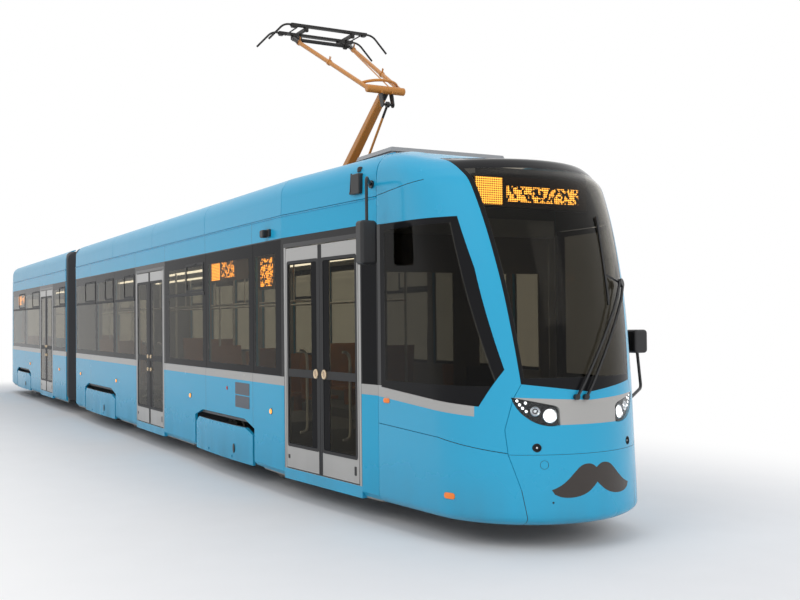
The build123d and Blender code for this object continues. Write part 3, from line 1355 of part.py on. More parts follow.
def pole_group(rows):
    """Grab poles from floor to ceiling."""
    with BuildPart() as group:
        with BuildSketch(Plane.XY.offset(FLOOR_Z)):
            with Locations(*rows):
                Circle(POLE_R)
        extrude(amount=CEILING_Z - FLOOR_Z)
    return group.part


save(seat_group(FRONT_SEATS), "front_seats")
save(seat_group(REAR_SEATS), "rear_seats")
save(pole_group(FRONT_POLES), "front_poles")
save(pole_group(REAR_POLES), "rear_poles")

with BuildPart() as cab_partition:
    half = side_y(PARTITION_X + PARTITION_T) - WALL - 2 * SLACK
    extrude(rectangles(Plane.YZ.offset(PARTITION_X), [(-half, FLOOR_Z, half, CEILING_Z)]), amount=PARTITION_T)
    inner_y, stile, sill_z, head_z = PARTITION_WINDOW
    windows = [(inner_y, sill_z, half - stile, head_z), (stile - half, sill_z, -inner_y, head_z)]
    extrude(rectangles(Plane.YZ.offset(PARTITION_X), windows), amount=PARTITION_T, mode=Mode.SUBTRACT)
save(cab_partition.part, "cab_partition")

with BuildPart() as driver_desk:
    extrude(outline(Plane.XZ.offset(-DESK_HALF), DESK_PROFILE), amount=2 * DESK_HALF)
    add(cab_plan(0, DESK_FRONT_X, DESK_INSET, CAB_X))
    extrude(amount=CROWN_Z, mode=Mode.INTERSECT)
save(driver_desk.part, "driver_desk")

save(seat_solid(*DRIVER_SEAT), "driver_seat")

with BuildPart() as displays:
    add(block(FRONT_DISPLAY, DISPLAY_R))
    hanger_z = FRONT_DISPLAY[5] - HANGER_W
    with BuildSketch(Plane.YZ.offset(CAB_X + CAB_WALL)):
        with Locations((-HANGER_Y, hanger_z), (HANGER_Y, hanger_z)):
            Rectangle(HANGER_W, HANGER_W)
    extrude(amount=FRONT_DISPLAY[0] - CAB_X - CAB_WALL + OVERCUT)
    for x0, x1 in SIDE_DISPLAYS:
        inner_y = HALF_WIDTH - WALL - SLACK
        add(block((x0, -inner_y, SIDE_DISPLAY_Z, x1, SIDE_DISPLAY_T - inner_y, CEILING_Z), DISPLAY_R))
save(displays.part, "displays")
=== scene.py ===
import bmesh
import bpy
from math import atan, cos, pi, radians, sin
from mathutils import Matrix, Vector
from mathutils.bvhtree import BVHTree


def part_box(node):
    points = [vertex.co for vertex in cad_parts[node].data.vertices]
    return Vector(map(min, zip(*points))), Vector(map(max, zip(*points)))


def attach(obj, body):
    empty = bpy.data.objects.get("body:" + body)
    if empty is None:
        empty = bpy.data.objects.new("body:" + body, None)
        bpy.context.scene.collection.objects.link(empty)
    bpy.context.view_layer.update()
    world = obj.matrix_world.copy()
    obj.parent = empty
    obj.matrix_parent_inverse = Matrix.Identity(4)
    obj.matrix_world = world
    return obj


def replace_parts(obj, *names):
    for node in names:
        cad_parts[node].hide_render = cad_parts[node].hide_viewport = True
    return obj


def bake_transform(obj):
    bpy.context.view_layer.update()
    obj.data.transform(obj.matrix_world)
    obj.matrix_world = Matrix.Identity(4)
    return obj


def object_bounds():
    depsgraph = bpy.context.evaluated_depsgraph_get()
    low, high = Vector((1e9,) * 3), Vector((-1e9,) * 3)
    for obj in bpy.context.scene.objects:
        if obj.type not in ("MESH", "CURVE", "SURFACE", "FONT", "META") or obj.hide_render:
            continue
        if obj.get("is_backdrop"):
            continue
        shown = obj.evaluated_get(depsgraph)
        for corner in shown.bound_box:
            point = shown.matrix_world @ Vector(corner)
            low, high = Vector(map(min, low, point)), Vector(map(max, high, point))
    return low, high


# Dressed model of an articulated low-floor tram, in metres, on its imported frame.
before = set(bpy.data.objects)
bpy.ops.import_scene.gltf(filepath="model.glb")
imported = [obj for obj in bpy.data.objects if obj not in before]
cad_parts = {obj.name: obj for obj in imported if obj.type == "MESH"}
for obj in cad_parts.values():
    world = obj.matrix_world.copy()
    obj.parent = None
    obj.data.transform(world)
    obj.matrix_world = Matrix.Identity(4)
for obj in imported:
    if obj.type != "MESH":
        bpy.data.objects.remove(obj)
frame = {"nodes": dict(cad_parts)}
cad_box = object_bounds()
nodes = frame["nodes"]

# Photograph's camera
CAMERA_AT = (19.202, -5.575, 1.927)
CAMERA_YAW = 151.221
CAMERA_PITCH = 1.139
CAMERA_ROLL = -0.598
CAMERA_LENS = 45.76
SENSOR = 36.0

# Floor: height, radius, and the distances from the tram's axis between which it fades to white
GROUND_Z = -0.025
FLOOR_R = 120.0
FLOOR_STRAIGHT = 12.0
FLOOR_FADE = (2.2, 6.5)

# Sizes shared with the solids
SIDES = (-1, 1)
HALF_WIDTH = 1.25
TAPER_X = 8.57
TAPER = 0.0811
CAB_X = 10.58
CROWN_Z = 3.555
CAB_WALL = 0.045
GLASS = 0.008
SILL_Z = 1.31
BAND_Z = 2.85
JOINT = 0.006

# Cab outlines by height: z, place of the nose on the centre line, inset of the sides
CAB_LEVELS = [
    (0.2, 12.37, 0.06), (0.275, 12.45, 0.0), (0.8, 12.42, 0.0), (1.35, 12.39, 0.0),
    (2.1, 12.31, 0.0), (2.8, 12.14, 0.0), (3.15, 12.0, 0.0), (3.35, 11.895, 0.01),
    (3.45, 11.83, 0.045), (3.52, 11.73, 0.12), (CROWN_Z, 11.5, 0.3),
]
CAB_WINDOW = [(10.64, 2.84), (11.67, 2.83), (11.86, 2.37), (12.11, 1.5), (11.95, 1.19), (10.64, 1.3)]
SCREEN = [(0, 3.43), (0.765, 3.405), (0.58, 1.38), (0, 1.305)]
MASK = [(0, 1.305), (0.58, 1.38), (0.64, 1.255), (0.7, 1.0), (0.685, 0.79), (0, 0.79)]
BUMPER = [(0, 0.79), (0.685, 0.79), (0.61, 0.5), (0.56, 0.15), (0, 0.15)]
SEAMS = [
    [(10.57, 0.948), (11.55, 0.898), (12.16, 0.797)],
    [(10.57, 3.118), (11.3, 3.19)],
]
LAMP_TIP, LAMP_BELLY, LAMP_FOOT = (0.65, 1.265), (0.52, 1.075), (0.3, 1.035)
VENT_Y, VENT_Z = 0.49, 0.85
CAB_STEPS = 5
SKIN_ANGLE = 28
LINED_FROM = 0.7 * CAB_WALL
CROWN_DROP = 0.15
LENS_DEPTH = 0.001
NEAR_X, FAR_X = 10.9, 12.8


# Materials: the steps add their nodes to the tree that their sockets belong to
def new_material():
    """A node material, its shader and its object coordinates."""
    mat = bpy.data.materials.new("look")
    mat.use_nodes = True
    nodes = mat.node_tree.nodes
    return mat, nodes["Principled BSDF"], nodes.new("ShaderNodeTexCoord").outputs["Object"]


def feed(node, **values):
    """Link sockets to a node's inputs, or set these to numbers or colours; in a name _ is a space."""
    for name, value in values.items():
        socket = node.inputs[name.replace("_", " ")]
        if isinstance(value, bpy.types.NodeSocket):
            node.id_data.links.new(value, socket)
        else:
            socket.default_value = value + (1,) if socket.type == "RGBA" else value
    return node


def new_node(source, kind, **values):
    return feed(source.id_data.nodes.new("ShaderNode" + kind), **values)


def math_node(operation, *values):
    source = next(value for value in values if isinstance(value, bpy.types.NodeSocket))
    node = new_node(source, "Math")
    node.operation = operation
    for socket, value in zip(node.inputs, values):
        if isinstance(value, bpy.types.NodeSocket):
            node.id_data.links.new(value, socket)
        else:
            socket.default_value = value
    return node.outputs[0]


def times(a, b):
    """A product; of two masks it is where both are one."""
    return math_node("MULTIPLY", a, b)


def times_add(value, factor, offset):
    return math_node("MULTIPLY_ADD", value, factor, offset)


def less(a, b):
    return math_node("SUBTRACT", a, b)


def inverse(mask):
    return less(1.0, mask)


def size_of(value):
    return math_node("ABSOLUTE", value)


def most(first, *others):
    """The greatest value; of masks it is where any is one."""
    for other in others:
        first = math_node("MAXIMUM", first, other)
    return first


def noise(coords, scale, detail=3.0, stretch=(1, 1, 1)):
    mapping = new_node(coords, "Mapping", Vector=coords, Scale=stretch)
    return new_node(coords, "TexNoise", Vector=mapping.outputs[0], Scale=scale, Detail=detail).outputs["Fac"]


def ramp(value, low, high, out_low=0.0, out_high=1.0):
    """A smooth step of a value from one range to another."""
    ends = {"From_Min": low, "From_Max": high, "To_Min": out_low, "To_Max": out_high}
    node = new_node(value, "MapRange", Value=value, **ends)
    node.interpolation_type = "SMOOTHSTEP"
    return node.outputs["Result"]


def fall(value, low, high):
    """One below a range and zero above it."""
    return ramp(value, low, high, 1.0, 0.0)


def mix(factor, a, b):
    node = new_node(factor, "Mix")
    node.data_type = "RGBA"
    return feed(node, Factor=factor, A=a, B=b).outputs["Result"]


def shaded(color, factor):
    """A colour made darker or lighter."""
    return tuple(min(1.0, c * factor) for c in color)


def bump(shader, height, strength, distance):
    node = new_node(height, "Bump", Height=height, Strength=strength, Distance=distance)
    feed(shader, Normal=node.outputs["Normal"])


def axes_of(coords):
    return new_node(coords, "SeparateXYZ", Vector=coords).outputs


def band(value, low, high, soft=0.001):
    """One between two values and zero outside them."""
    return times(ramp(value, low - soft, low + soft), fall(value, high - soft, high + soft))


def apart(value, low, high):
    """One below the first value and above the second, and zero between them."""
    return inverse(band(value, low, high))


def painted(color, rough=0.26, coat=0.25, dirt=0.3, marks=None, grain=0.03, gloss=0.35):
    """Sprayed paint with slight colour drift, fine orange peel and road dust low down.
    marks is a function that repaints the colour with stripes and joints."""
    mat, shader, coords = new_material()
    x, y, z = axes_of(coords)
    paint = mix(noise(coords, 0.35, 2.0), shaded(color, 1 - grain), shaded(color, 1 + grain))
    if marks:
        paint = marks(paint, x, y, z)
    streaks = noise(coords, 1.6, 4.0, (1.0, 1.0, 0.12))
    dust = times(times(fall(z, 0.15, 0.75), ramp(streaks, 0.3, 0.8)), dirt)
    roughness = times_add(noise(coords, 5.0), 0.06, rough - 0.03)
    feed(shader, Base_Color=mix(dust, paint, DIRT), Roughness=times_add(dust, 0.6, roughness), Coat_Weight=coat,
         Coat_Roughness=0.08, Specular_IOR_Level=gloss)
    bump(shader, noise(coords, 220.0, 2.0), 0.01, 0.0002)
    return mat


def moulded(color, rough=0.5, scale=400.0, strength=0.15, marks=None):
    """Moulded plastic or rubber with a fine grain."""
    mat, shader, coords = new_material()
    tint = mix(noise(coords, 6.0), shaded(color, 0.85), shaded(color, 1.15))
    if marks:
        tint = marks(tint, *axes_of(coords))
    grain = noise(coords, scale, 2.0)
    feed(shader, Base_Color=tint, Roughness=times_add(grain, 0.12, rough - 0.06))
    bump(shader, grain, strength, 0.0006)
    return mat


def metal(color, rough=0.35, brushed=(1, 1, 1), tarnish=0.25):
    """Bare metal with fine brush lines and patches of tarnish."""
    mat, shader, coords = new_material()
    tint = mix(noise(coords, 5.0, 5.0), shaded(color, 1 - tarnish), color)
    lines = noise(coords, 60.0, 3.0, brushed)
    feed(shader, Base_Color=tint, Roughness=times_add(lines, 0.2, rough - 0.1), Metallic=1.0)
    bump(shader, lines, 0.08, 0.0005)
    return mat


def tinted_glass(color, frit=None, ior=1.22):
    """Tinted glass with a faint film; frit is a function that returns the mask of its black border."""
    mat, shader, coords = new_material()
    film = noise(coords, 2.0, 4.0)
    tint = mix(film, shaded(color, 0.94), color)
    roughness = times_add(film, 0.02, 0.02)
    clear = 1.0
    if frit:
        border = frit(*axes_of(coords))
        tint = mix(border, tint, BLACK)
        clear = inverse(border)
        roughness = times_add(border, 0.07, roughness)
    feed(shader, Base_Color=tint, Roughness=roughness, Transmission_Weight=clear, IOR=ior)
    return mat


def glowing(color, strength):
    """A glowing face; on the side reflector the glow is painted reflected light."""
    mat, shader, coords = new_material()
    tint = mix(noise(coords, 14.0, 2.0), shaded(color, 0.85), color)
    feed(shader, Base_Color=tint, Emission_Color=tint, Emission_Strength=strength, Roughness=0.4)
    return mat


DIRT = (0.1, 0.085, 0.07)
BLUE = (0.016, 0.365, 0.6)
GREY = (0.4, 0.39, 0.37)
BLACK = (0.01, 0.01, 0.011)
LINING = (0.33, 0.32, 0.29)
HEAD_BLACK = (0.018, 0.017, 0.017)
ROOF_SHEET = (0.27, 0.275, 0.28)

# Doorways by their rear edge, the middle of a pair of leaves from there, and the bar across each leaf
DOORWAYS = [8.62, 2.15, -7.22]
DOOR_MIDDLE = 0.83
DOOR_BAR = (1.32, 1.405)

# Places along the sides: joints between panels, black bars between the panes of the right and the left side
PANEL_JOINTS = (7.638, 5.842, 3.88, 2.092, -1.4, -4.15, -5.5, -7.3, -9.56)
RIGHT_BARS = [
    (-2.86, -2.74), (-0.98, -0.8), (0.5, 0.68), (2.0, 2.1), (3.86, 4.1), (5.72, 5.98), (7.52, 7.74),
    (8.38, 8.62), (10.28, 10.6), (-4.1, -3.94), (-5.5, -5.38), (-7.42, -7.22), (-9.68, -9.46), (-11.8, -11.64),
]
LEFT_BARS = [
    (-2.86, -2.74), (-1.46, -1.3), (0.0, 0.16), (1.46, 1.62), (2.92, 3.08), (4.38, 4.54), (5.79, 5.95),
    (7.59, 7.75), (8.48, 8.7), (9.55, 9.71), (10.46, 10.6), (-4.1, -3.94), (-5.57, -5.41), (-7.48, -7.32),
    (-9.64, -9.48), (-11.8, -11.64),
]

# Lamps of the displays
LAMP_PITCH = 0.02
LAMP_SHARE = 0.46


def field(u, v, u0, v0, u1, v1):
    """The mask of a rectangle."""
    return times(band(u, u0, u1), band(v, v0, v1))


def on_right(y):
    return fall(y, -0.01, 0.01)


def side_marks(paint, x, y, z):
    """Grey stripe under the windows, black round the doors, panel joints and a pale lining inside."""
    paint = mix(band(z, SILL_Z - 0.1, SILL_Z + 0.002), paint, GREY)
    joints = most(*[band(x, at - JOINT / 2, at + JOINT / 2) for at in PANEL_JOINTS])
    paint = mix(times(joints, apart(z, SILL_Z, BAND_Z)), paint, BLACK)
    by_windows = band(z, SILL_Z, BAND_Z)
    pillar = times(by_windows, band(x, 10.3, 10.6))
    around = most(*[band(x, start - 0.13, start + 1.79) for start in DOORWAYS])
    around = times(times(around, by_windows), on_right(y))
    rail = band(z, BAND_Z - 0.002, BAND_Z + 0.012)
    paint = mix(most(pillar, around, rail), paint, BLACK)
    depth = times_add(most(less(x, TAPER_X), 0.0), TAPER, size_of(y))
    return mix(fall(depth, 1.205, 1.21), paint, LINING)


def cab_marks(paint, x, y, z):
    """The stripe runs on under the cab window, lower towards its tip, and the post behind that is black."""
    line = times_add(less(x, 10.6), 0.0775, z)
    stripe = times(band(line, SILL_Z - 0.105, SILL_Z + 0.03), fall(x, 11.915, 11.92))
    post = times(fall(x, 10.65, 10.655), band(z, SILL_Z, 2.845))
    return mix(post, mix(stripe, paint, GREY), BLACK)


def nose_marks(paint, x, y, z):
    """The grey panel between the headlamps, with a wedge over each lamp."""
    across = size_of(y)
    top = times_add(across, 0.05, 1.236)
    panel = times(ramp(less(top, z), -0.001, 0.001), ramp(z, 1.034, 1.036))
    lamp_line = times_add(less(across, 0.3), 0.214, 1.186)
    wedge = times(ramp(less(z, lamp_line), -0.001, 0.001), fall(across, 0.62, 0.64))
    return mix(times(panel, most(fall(across, 0.345, 0.347), wedge)), paint, GREY)


def skirt_marks(paint, x, y, z):
    """A dark upper edge along the skirt."""
    return mix(ramp(z, 0.632, 0.638), paint, BLACK)


def door_marks(paint, x, y, z):
    """Black inner stiles, edges and head, and a blue sill under the leaves."""
    middles = [start + DOOR_MIDDLE for start in DOORWAYS]
    stiles = most(*[band(x, at - 0.049, at + 0.049) for at in middles])
    edges = [band(x, start + at, start + at + 0.012) for start in DOORWAYS for at in (0, 1.648)]
    black = most(times(stiles, band(z, 0.555, 2.59)), ramp(z, 2.744, 2.746), *edges)
    return mix(fall(z, 0.305, 0.307), mix(black, paint, BLACK), BLUE)


def window_frit(x, y, z):
    """Black borders of the panes on both sides, of the door glass and of the tail window."""
    right = on_right(y)
    in_door = times(most(*[band(x, start + 0.05, start + 1.61) for start in DOORWAYS]), right)
    bars = times(most(*[band(x, a, b) for a, b in RIGHT_BARS]), right)
    other = times(most(*[band(x, a, b) for a, b in LEFT_BARS]), ramp(y, -0.01, 0.01))
    tail = fall(x, -11.86, -11.84)
    wall = times(most(bars, other, apart(z, SILL_Z + 0.09, 2.7)), inverse(most(in_door, tail)))
    panes = [band(x, start + a, start + b) for start in DOORWAYS for a, b in ((0.12, 0.64), (1.02, 1.54))]
    door = most(inverse(most(*panes)), band(z, *DOOR_BAR), apart(z, 0.595, 2.548))
    tail = times(tail, inverse(field(y, z, -0.8, 1.0, 0.8, 2.66)))
    return most(wall, times(door, in_door), tail)


def cab_window_frit(x, y, z):
    """Black borders of the cab's side windows."""
    return most(fall(x, 10.7, 10.71), ramp(times_add(z, 0.32, x), 12.5, 12.52), apart(z, 1.36, 2.78))


def screen_frit(x, y, z):
    """Black border of the windscreen, wide at the foot and at the head."""
    return most(ramp(times_add(z, -0.088, size_of(y)), 0.432, 0.435), apart(z, 1.43, 3.27))


def lamp_grid(color, strength, lit):
    """A display of small round lamps; lit is a function that returns where they glow."""
    mat, shader, coords = new_material()
    x, y, z = axes_of(coords)
    squares = []
    for run in (math_node("ADD", x, y), z):
        cell = math_node("FRACT", math_node("DIVIDE", math_node("ADD", run, 50.0), LAMP_PITCH))
        off = less(cell, 0.5)
        squares.append(times(off, off))
    dot = fall(math_node("ADD", *squares), 0.6 * LAMP_SHARE ** 2, LAMP_SHARE ** 2)
    glow = times(dot, lit(coords, x, y, z))
    tint = mix(noise(coords, 9.0, 2.0), shaded(color, 0.85), color)
    feed(shader, Base_Color=mix(glow, (0.012, 0.01, 0.009), tint), Roughness=0.35,
         Emission_Color=mix(glow, (0.002, 0.001, 0.0005), tint), Emission_Strength=strength)
    return mat


def scattered(coords, scale, low):
    """Clusters of lit dots in no order."""
    return ramp(noise(coords, scale, 1.0), low, low + 0.06)


def front_lit(coords, x, y, z):
    """A lit field at the right of the tram and a line of scattered dots beside it."""
    line = times(field(y, z, -0.315, 2.99, 0.5, 3.13), scattered(coords, 26.0, 0.44))
    return most(field(y, z, -0.65, 2.955, -0.36, 3.2), line)


def side_lit(coords, x, y, z):
    """In the side displays of both cars, a lit field at the rear end and scattered dots beside it."""
    lit = [field(x, z, 5.98, 2.48, 6.32, 2.755), field(x, z, -11.1, 2.46, -10.6, 2.74)]
    lines = ((6.38, 2.5, 6.87, 2.72, 0.5), (7.8, 2.34, 8.2, 2.67, 0.46), (-10.52, 2.5, -9.78, 2.72, 0.5))
    lit += [times(field(x, z, *line[:4]), scattered(coords, 24.0, line[4])) for line in lines]
    return most(*lit)


def roof_marks(paint, x, y, z):
    """The outside of the roof is a worn grey sheet over the pale ceiling."""
    return mix(ramp(z, 2.95, 2.96), paint, ROOF_SHEET)


def collector_marks(paint, x, y, z):
    """The head pivot of the collector's arm is black, and so are the brackets under the knee."""
    near_head = times(ramp(z, 5.5, 5.52), fall(x, 7.14, 7.16))
    return mix(most(near_head, field(x, z, 8.68, 4.3, 8.92, 4.572)), paint, HEAD_BLACK)


MATERIALS = {
    "body_blue": painted(BLUE, coat=0.06, gloss=0.15, marks=side_marks),
    "cab_blue": painted(BLUE, marks=cab_marks),
    "nose_blue": painted(BLUE, marks=nose_marks),
    "skirt_blue": painted(BLUE, coat=0.1, gloss=0.2, marks=skirt_marks, dirt=0.45),
    "plain_blue": painted(BLUE),
    "cowl": painted(BLUE, rough=0.3, coat=0.1, gloss=0.25),
    "structure": painted((0.16, 0.165, 0.17), rough=0.55, coat=0.0),
    "roof_box": painted((0.34, 0.345, 0.35), rough=0.5, coat=0.0, grain=0.08),
    "bogie": painted((0.03, 0.03, 0.032), rough=0.6, coat=0.0, dirt=0.5),
    "wheel": metal((0.36, 0.33, 0.3), 0.45, tarnish=0.5),
    "glass": tinted_glass((0.34, 0.32, 0.26), frit=window_frit, ior=1.1),
    "cab_glass": tinted_glass((0.12, 0.115, 0.1), frit=cab_window_frit, ior=1.18),
    "screen": tinted_glass((0.25, 0.23, 0.19), frit=screen_frit, ior=1.22),
    "lamp": tinted_glass((0.93, 0.95, 0.96), ior=1.15),
    "bowl": moulded((0.008, 0.008, 0.009), 0.22, 300.0, 0.02),
    "tail_lamp": glowing((0.55, 0.02, 0.01), 0.6),
    "door_grey": painted(GREY, rough=0.32, marks=door_marks),
    "brass": metal((0.78, 0.62, 0.42), 0.28, tarnish=0.2),
    "seat": moulded((0.46, 0.2, 0.07), 0.38, 60.0, 0.05),
    "driver_seat": moulded((0.04, 0.04, 0.045), 0.85, 500.0, 0.4),
    "pole": metal((0.7, 0.69, 0.66), 0.3, (1, 1, 0.05), 0.1),
    "panel": moulded((0.2, 0.17, 0.13), 0.6),
    "trim": moulded((0.016, 0.016, 0.017), 0.42),
    "plate": moulded((0.035, 0.045, 0.065), 0.35, 120.0, 0.05),
    "film": moulded((0.03, 0.022, 0.018), 0.12, 40.0, 0.01),
    "rubber": moulded((0.01, 0.01, 0.011), 0.6, 300.0, 0.2),
    "bellows": moulded((0.022, 0.023, 0.026), 0.7, 250.0, 0.3),
    "orange": painted((0.52, 0.215, 0.045), rough=0.38, coat=0.15, dirt=0.0, grain=0.08, marks=collector_marks),
    "head": painted((0.018, 0.017, 0.016), rough=0.5, coat=0.1, dirt=0.0, grain=0.1),
    "amber": glowing((1.0, 0.4, 0.08), 1.0),
    "turn": glowing((0.8, 0.2, 0.03), 0.25),
    "button": moulded((0.5, 0.36, 0.24), 0.4),
    # The side reflector is not a lamp: its glow is painted reflected light.
    "reflector_glow": glowing((0.45, 0.03, 0.02), 0.1),
    "front_grid": lamp_grid((1.0, 0.46, 0.07), 10.0, front_lit),
    "side_grid": lamp_grid((1.0, 0.36, 0.04), 8.0, side_lit),
    "white_lamp": glowing((1.0, 0.98, 0.94), 2.5),
    "ceiling_lamp": glowing((1.0, 0.93, 0.8), 3.0),
    "chrome": metal((0.75, 0.76, 0.78), 0.15, tarnish=0.05),
    "mirror": metal((0.88, 0.89, 0.9), 0.03, tarnish=0.02),
    "lining": moulded((0.1, 0.1, 0.1), 0.6, 200.0, 0.1),
    "ceiling": moulded((0.55, 0.54, 0.5), 0.55, 120.0, 0.1, roof_marks),
}
for key, look in MATERIALS.items():
    look.name = key + "_look"

NODE_MATERIALS = {
    "body_blue": "front_wall_right front_wall_left rear_wall_right rear_wall_left",
    "cab_blue": "cab_shell",
    "plain_blue": "nose_panel bumper_panel tail_shell",
    "skirt_blue": "bogie_1_skirts bogie_2_skirts bogie_3_skirts",
    "cowl": "front_cowls rear_cowls",
    "structure": "front_floor rear_floor front_portal rear_portal turntable",
    "ceiling": "front_roof rear_roof",
    "roof_box": "front_roof_boxes rear_roof_boxes",
    "bogie": "bogie_1_frame bogie_2_frame bogie_3_frame bogie_1_motors bogie_3_motors",
    "wheel": "wheelset_1 wheelset_2 wheelset_3 wheelset_4 wheelset_5 wheelset_6",
    "glass": "front_glazing rear_glazing",
    "screen": "cab_glass",
    "lamp": "headlamps",
    "tail_lamp": "tail_lamps",
    "door_grey": "front_door_frames rear_door_frames front_door_leaves rear_door_leaves",
    "seat": "front_seats rear_seats",
    "driver_seat": "driver_seat",
    "pole": "front_poles rear_poles",
    "panel": "cab_partition driver_desk",
    "trim": "displays mirrors wipers",
    "bellows": "bellows",
    "orange": "pantograph_base lower_arm upper_arm tie_rod",
    "head": "contact_head",
}
for key, names in NODE_MATERIALS.items():
    for node_name in names.split():
        mesh = nodes[node_name].data
        mesh.materials.clear()
        mesh.materials.append(MATERIALS[key])


# Meshes
def new_object(name, data):
    """An object in the scene."""
    obj = bpy.data.objects.new(name, data)
    bpy.context.scene.collection.objects.link(obj)
    return obj


def piece(name, shape, material, body="front_car"):
    """A visible piece from a mesh or a list of meshes, on the body that it rides on."""
    mesh = join(shape) if isinstance(shape, list) else shape
    obj = new_object(name, mesh)
    mesh.materials.clear()
    mesh.materials.append(MATERIALS[material])
    if body:
        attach(obj, body)
    return obj


def smooth(mesh, angle):
    for face in mesh.polygons:
        face.use_smooth = True
    mesh.set_sharp_from_angle(angle=radians(angle))


def mesh_from(verts, faces):
    mesh = bpy.data.meshes.new("mesh")
    mesh.from_pydata([tuple(v) for v in verts], [], faces)
    mesh.validate()
    return mesh


def outward(mesh):
    """The mesh with its faces turned outwards."""
    shape = bmesh.new()
    shape.from_mesh(mesh)
    bmesh.ops.recalc_face_normals(shape, faces=shape.faces)
    shape.to_mesh(mesh)
    shape.free()
    return mesh


def join(meshes, angle=35):
    """One smooth mesh from several."""
    shape = bmesh.new()
    for mesh in meshes:
        shape.from_mesh(mesh)
    result = bpy.data.meshes.new("joined")
    shape.to_mesh(result)
    shape.free()
    smooth(result, angle)
    return result


def ring_mesh(rings, closed):
    count, width = len(rings), len(rings[0])
    faces = []
    for r in range(count if closed else count - 1):
        for c in range(width):
            n, d = (r + 1) % count, (c + 1) % width
            faces.append((r * width + c, r * width + d, n * width + d, n * width + c))
    if not closed:
        faces += [tuple(range(width - 1, -1, -1)), tuple(range((count - 1) * width, count * width))]
    return mesh_from([point for ring in rings for point in ring], faces)


def solid(rings, closed=False):
    """A solid through rings of points, with capped ends or closed on its first ring."""
    return outward(ring_mesh(rings, closed))


def prism(points, axis="X", low=NEAR_X, high=FAR_X):
    """A closed prism of an outline: axis X takes points as y, z and axis Y takes them as x, z."""
    count = len(points)
    verts = [(depth, u, v) if axis == "X" else (u, depth, v) for depth in (low, high) for u, v in points]
    faces = [tuple(range(count)), tuple(range(2 * count - 1, count - 1, -1))]
    faces += [(i, i + count, (i + 1) % count + count, (i + 1) % count) for i in range(count)]
    return outward(mesh_from(verts, faces))


def combine(mesh, tools, operation="DIFFERENCE"):
    """The mesh with each tool mesh cut from it or kept, as a new mesh."""
    base = new_object("combine_base", mesh)
    cutters = [new_object("combine_tool", tool) for tool in tools]
    for cutter in cutters:
        modifier = base.modifiers.new("combine", "BOOLEAN")
        modifier.operation = operation
        modifier.solver = "EXACT"
        modifier.object = cutter
    depsgraph = bpy.context.evaluated_depsgraph_get()
    result = bpy.data.meshes.new_from_object(base.evaluated_get(depsgraph))
    for obj in [base] + cutters:
        bpy.data.objects.remove(obj)
    return result


# Cab: smooth skins cut along the same outlines as the solids
def side_y(x):
    return HALF_WIDTH - TAPER * max(0.0, x - TAPER_X)


def hermite(values, position):
    """Smooth value between listed ones that never swings past them."""
    last = len(values) - 1
    i = min(int(position), last - 1)
    t = position - i

    def slope(k):
        if k == 0 or k == last:
            return 0.0 if k == 0 else values[last] - values[last - 1]
        before, after = values[k] - values[k - 1], values[k + 1] - values[k]
        return 0.0 if before * after <= 0 else 2 * before * after / (before + after)

    a, b = values[i], values[i + 1]
    m0, m1 = slope(i), slope(i + 1)
    return (
        a * (2 * t ** 3 - 3 * t ** 2 + 1) + m0 * (t ** 3 - 2 * t ** 2 + t)
        + b * (3 * t ** 2 - 2 * t ** 3) + m1 * (t ** 3 - t ** 2)
    )


def cab_ring(z, front_x, inset, rear_x, sides=6, arc=28):
    """Points of the cab's plan at one height, from the rear right corner round to the rear left."""
    slope = atan(TAPER)
    nose_r = cos(slope) * (side_y(front_x) - inset) / (1 - TAPER * cos(slope))
    tangent_x = front_x - nose_r + nose_r * sin(slope)
    tangent_y = nose_r * cos(slope)
    rear_y = side_y(rear_x) - inset
    half = []
    for i in range(sides):
        t = i / sides
        half.append((rear_x + (tangent_x - rear_x) * t, -(rear_y + (tangent_y - rear_y) * t), z))
    start = pi / 2 - slope
    for i in range(arc):
        angle = -start + start * i / arc
        half.append((front_x - nose_r + nose_r * cos(angle), nose_r * sin(angle), z))
    return half + [(front_x, 0.0, z)] + [(x, -y, z) for x, y, z in reversed(half)]


def smoothstep(value, low, high):
    t = min(1.0, max(0.0, (value - low) / (high - low)))
    return t * t * (3 - 2 * t)


def lowered(point):
    """A point of the crown, which comes down towards the windscreen."""
    x, y, z = point
    return (x, y, z - CROWN_DROP * smoothstep(x, 10.6, 11.45) * smoothstep(z, 3.1, 3.5))


def cab_solid(depth, rear_x=CAB_X, foot=0.0):
    """The closed cab form, shrunk inwards by depth, with its foot lowered."""
    heights = [level[0] for level in CAB_LEVELS]
    heights[-1] -= depth
    fronts = [level[1] - depth for level in CAB_LEVELS]
    insets = [level[2] + depth for level in CAB_LEVELS]
    rings = []
    for i in range(CAB_STEPS * (len(CAB_LEVELS) - 1) + 1):
        at = i / CAB_STEPS
        z = hermite(heights, at) - (foot if i == 0 else 0)
        rings.append([lowered(p) for p in cab_ring(z, hermite(fronts, at), hermite(insets, at), rear_x)])
    return ring_mesh(rings, False)


def cab_skin(outside, inside, rear_x=CAB_X):
    """The cab form between two depths, open at the rear and at the foot."""
    return combine(cab_solid(outside, rear_x), [cab_solid(inside, CAB_X - 0.01, 0.01)])


def both(half, grow=0.0):
    """A closed outline from its half, grown by a joint."""
    return grown(half + [(-y, z) for y, z in reversed(half) if y != 0], grow)


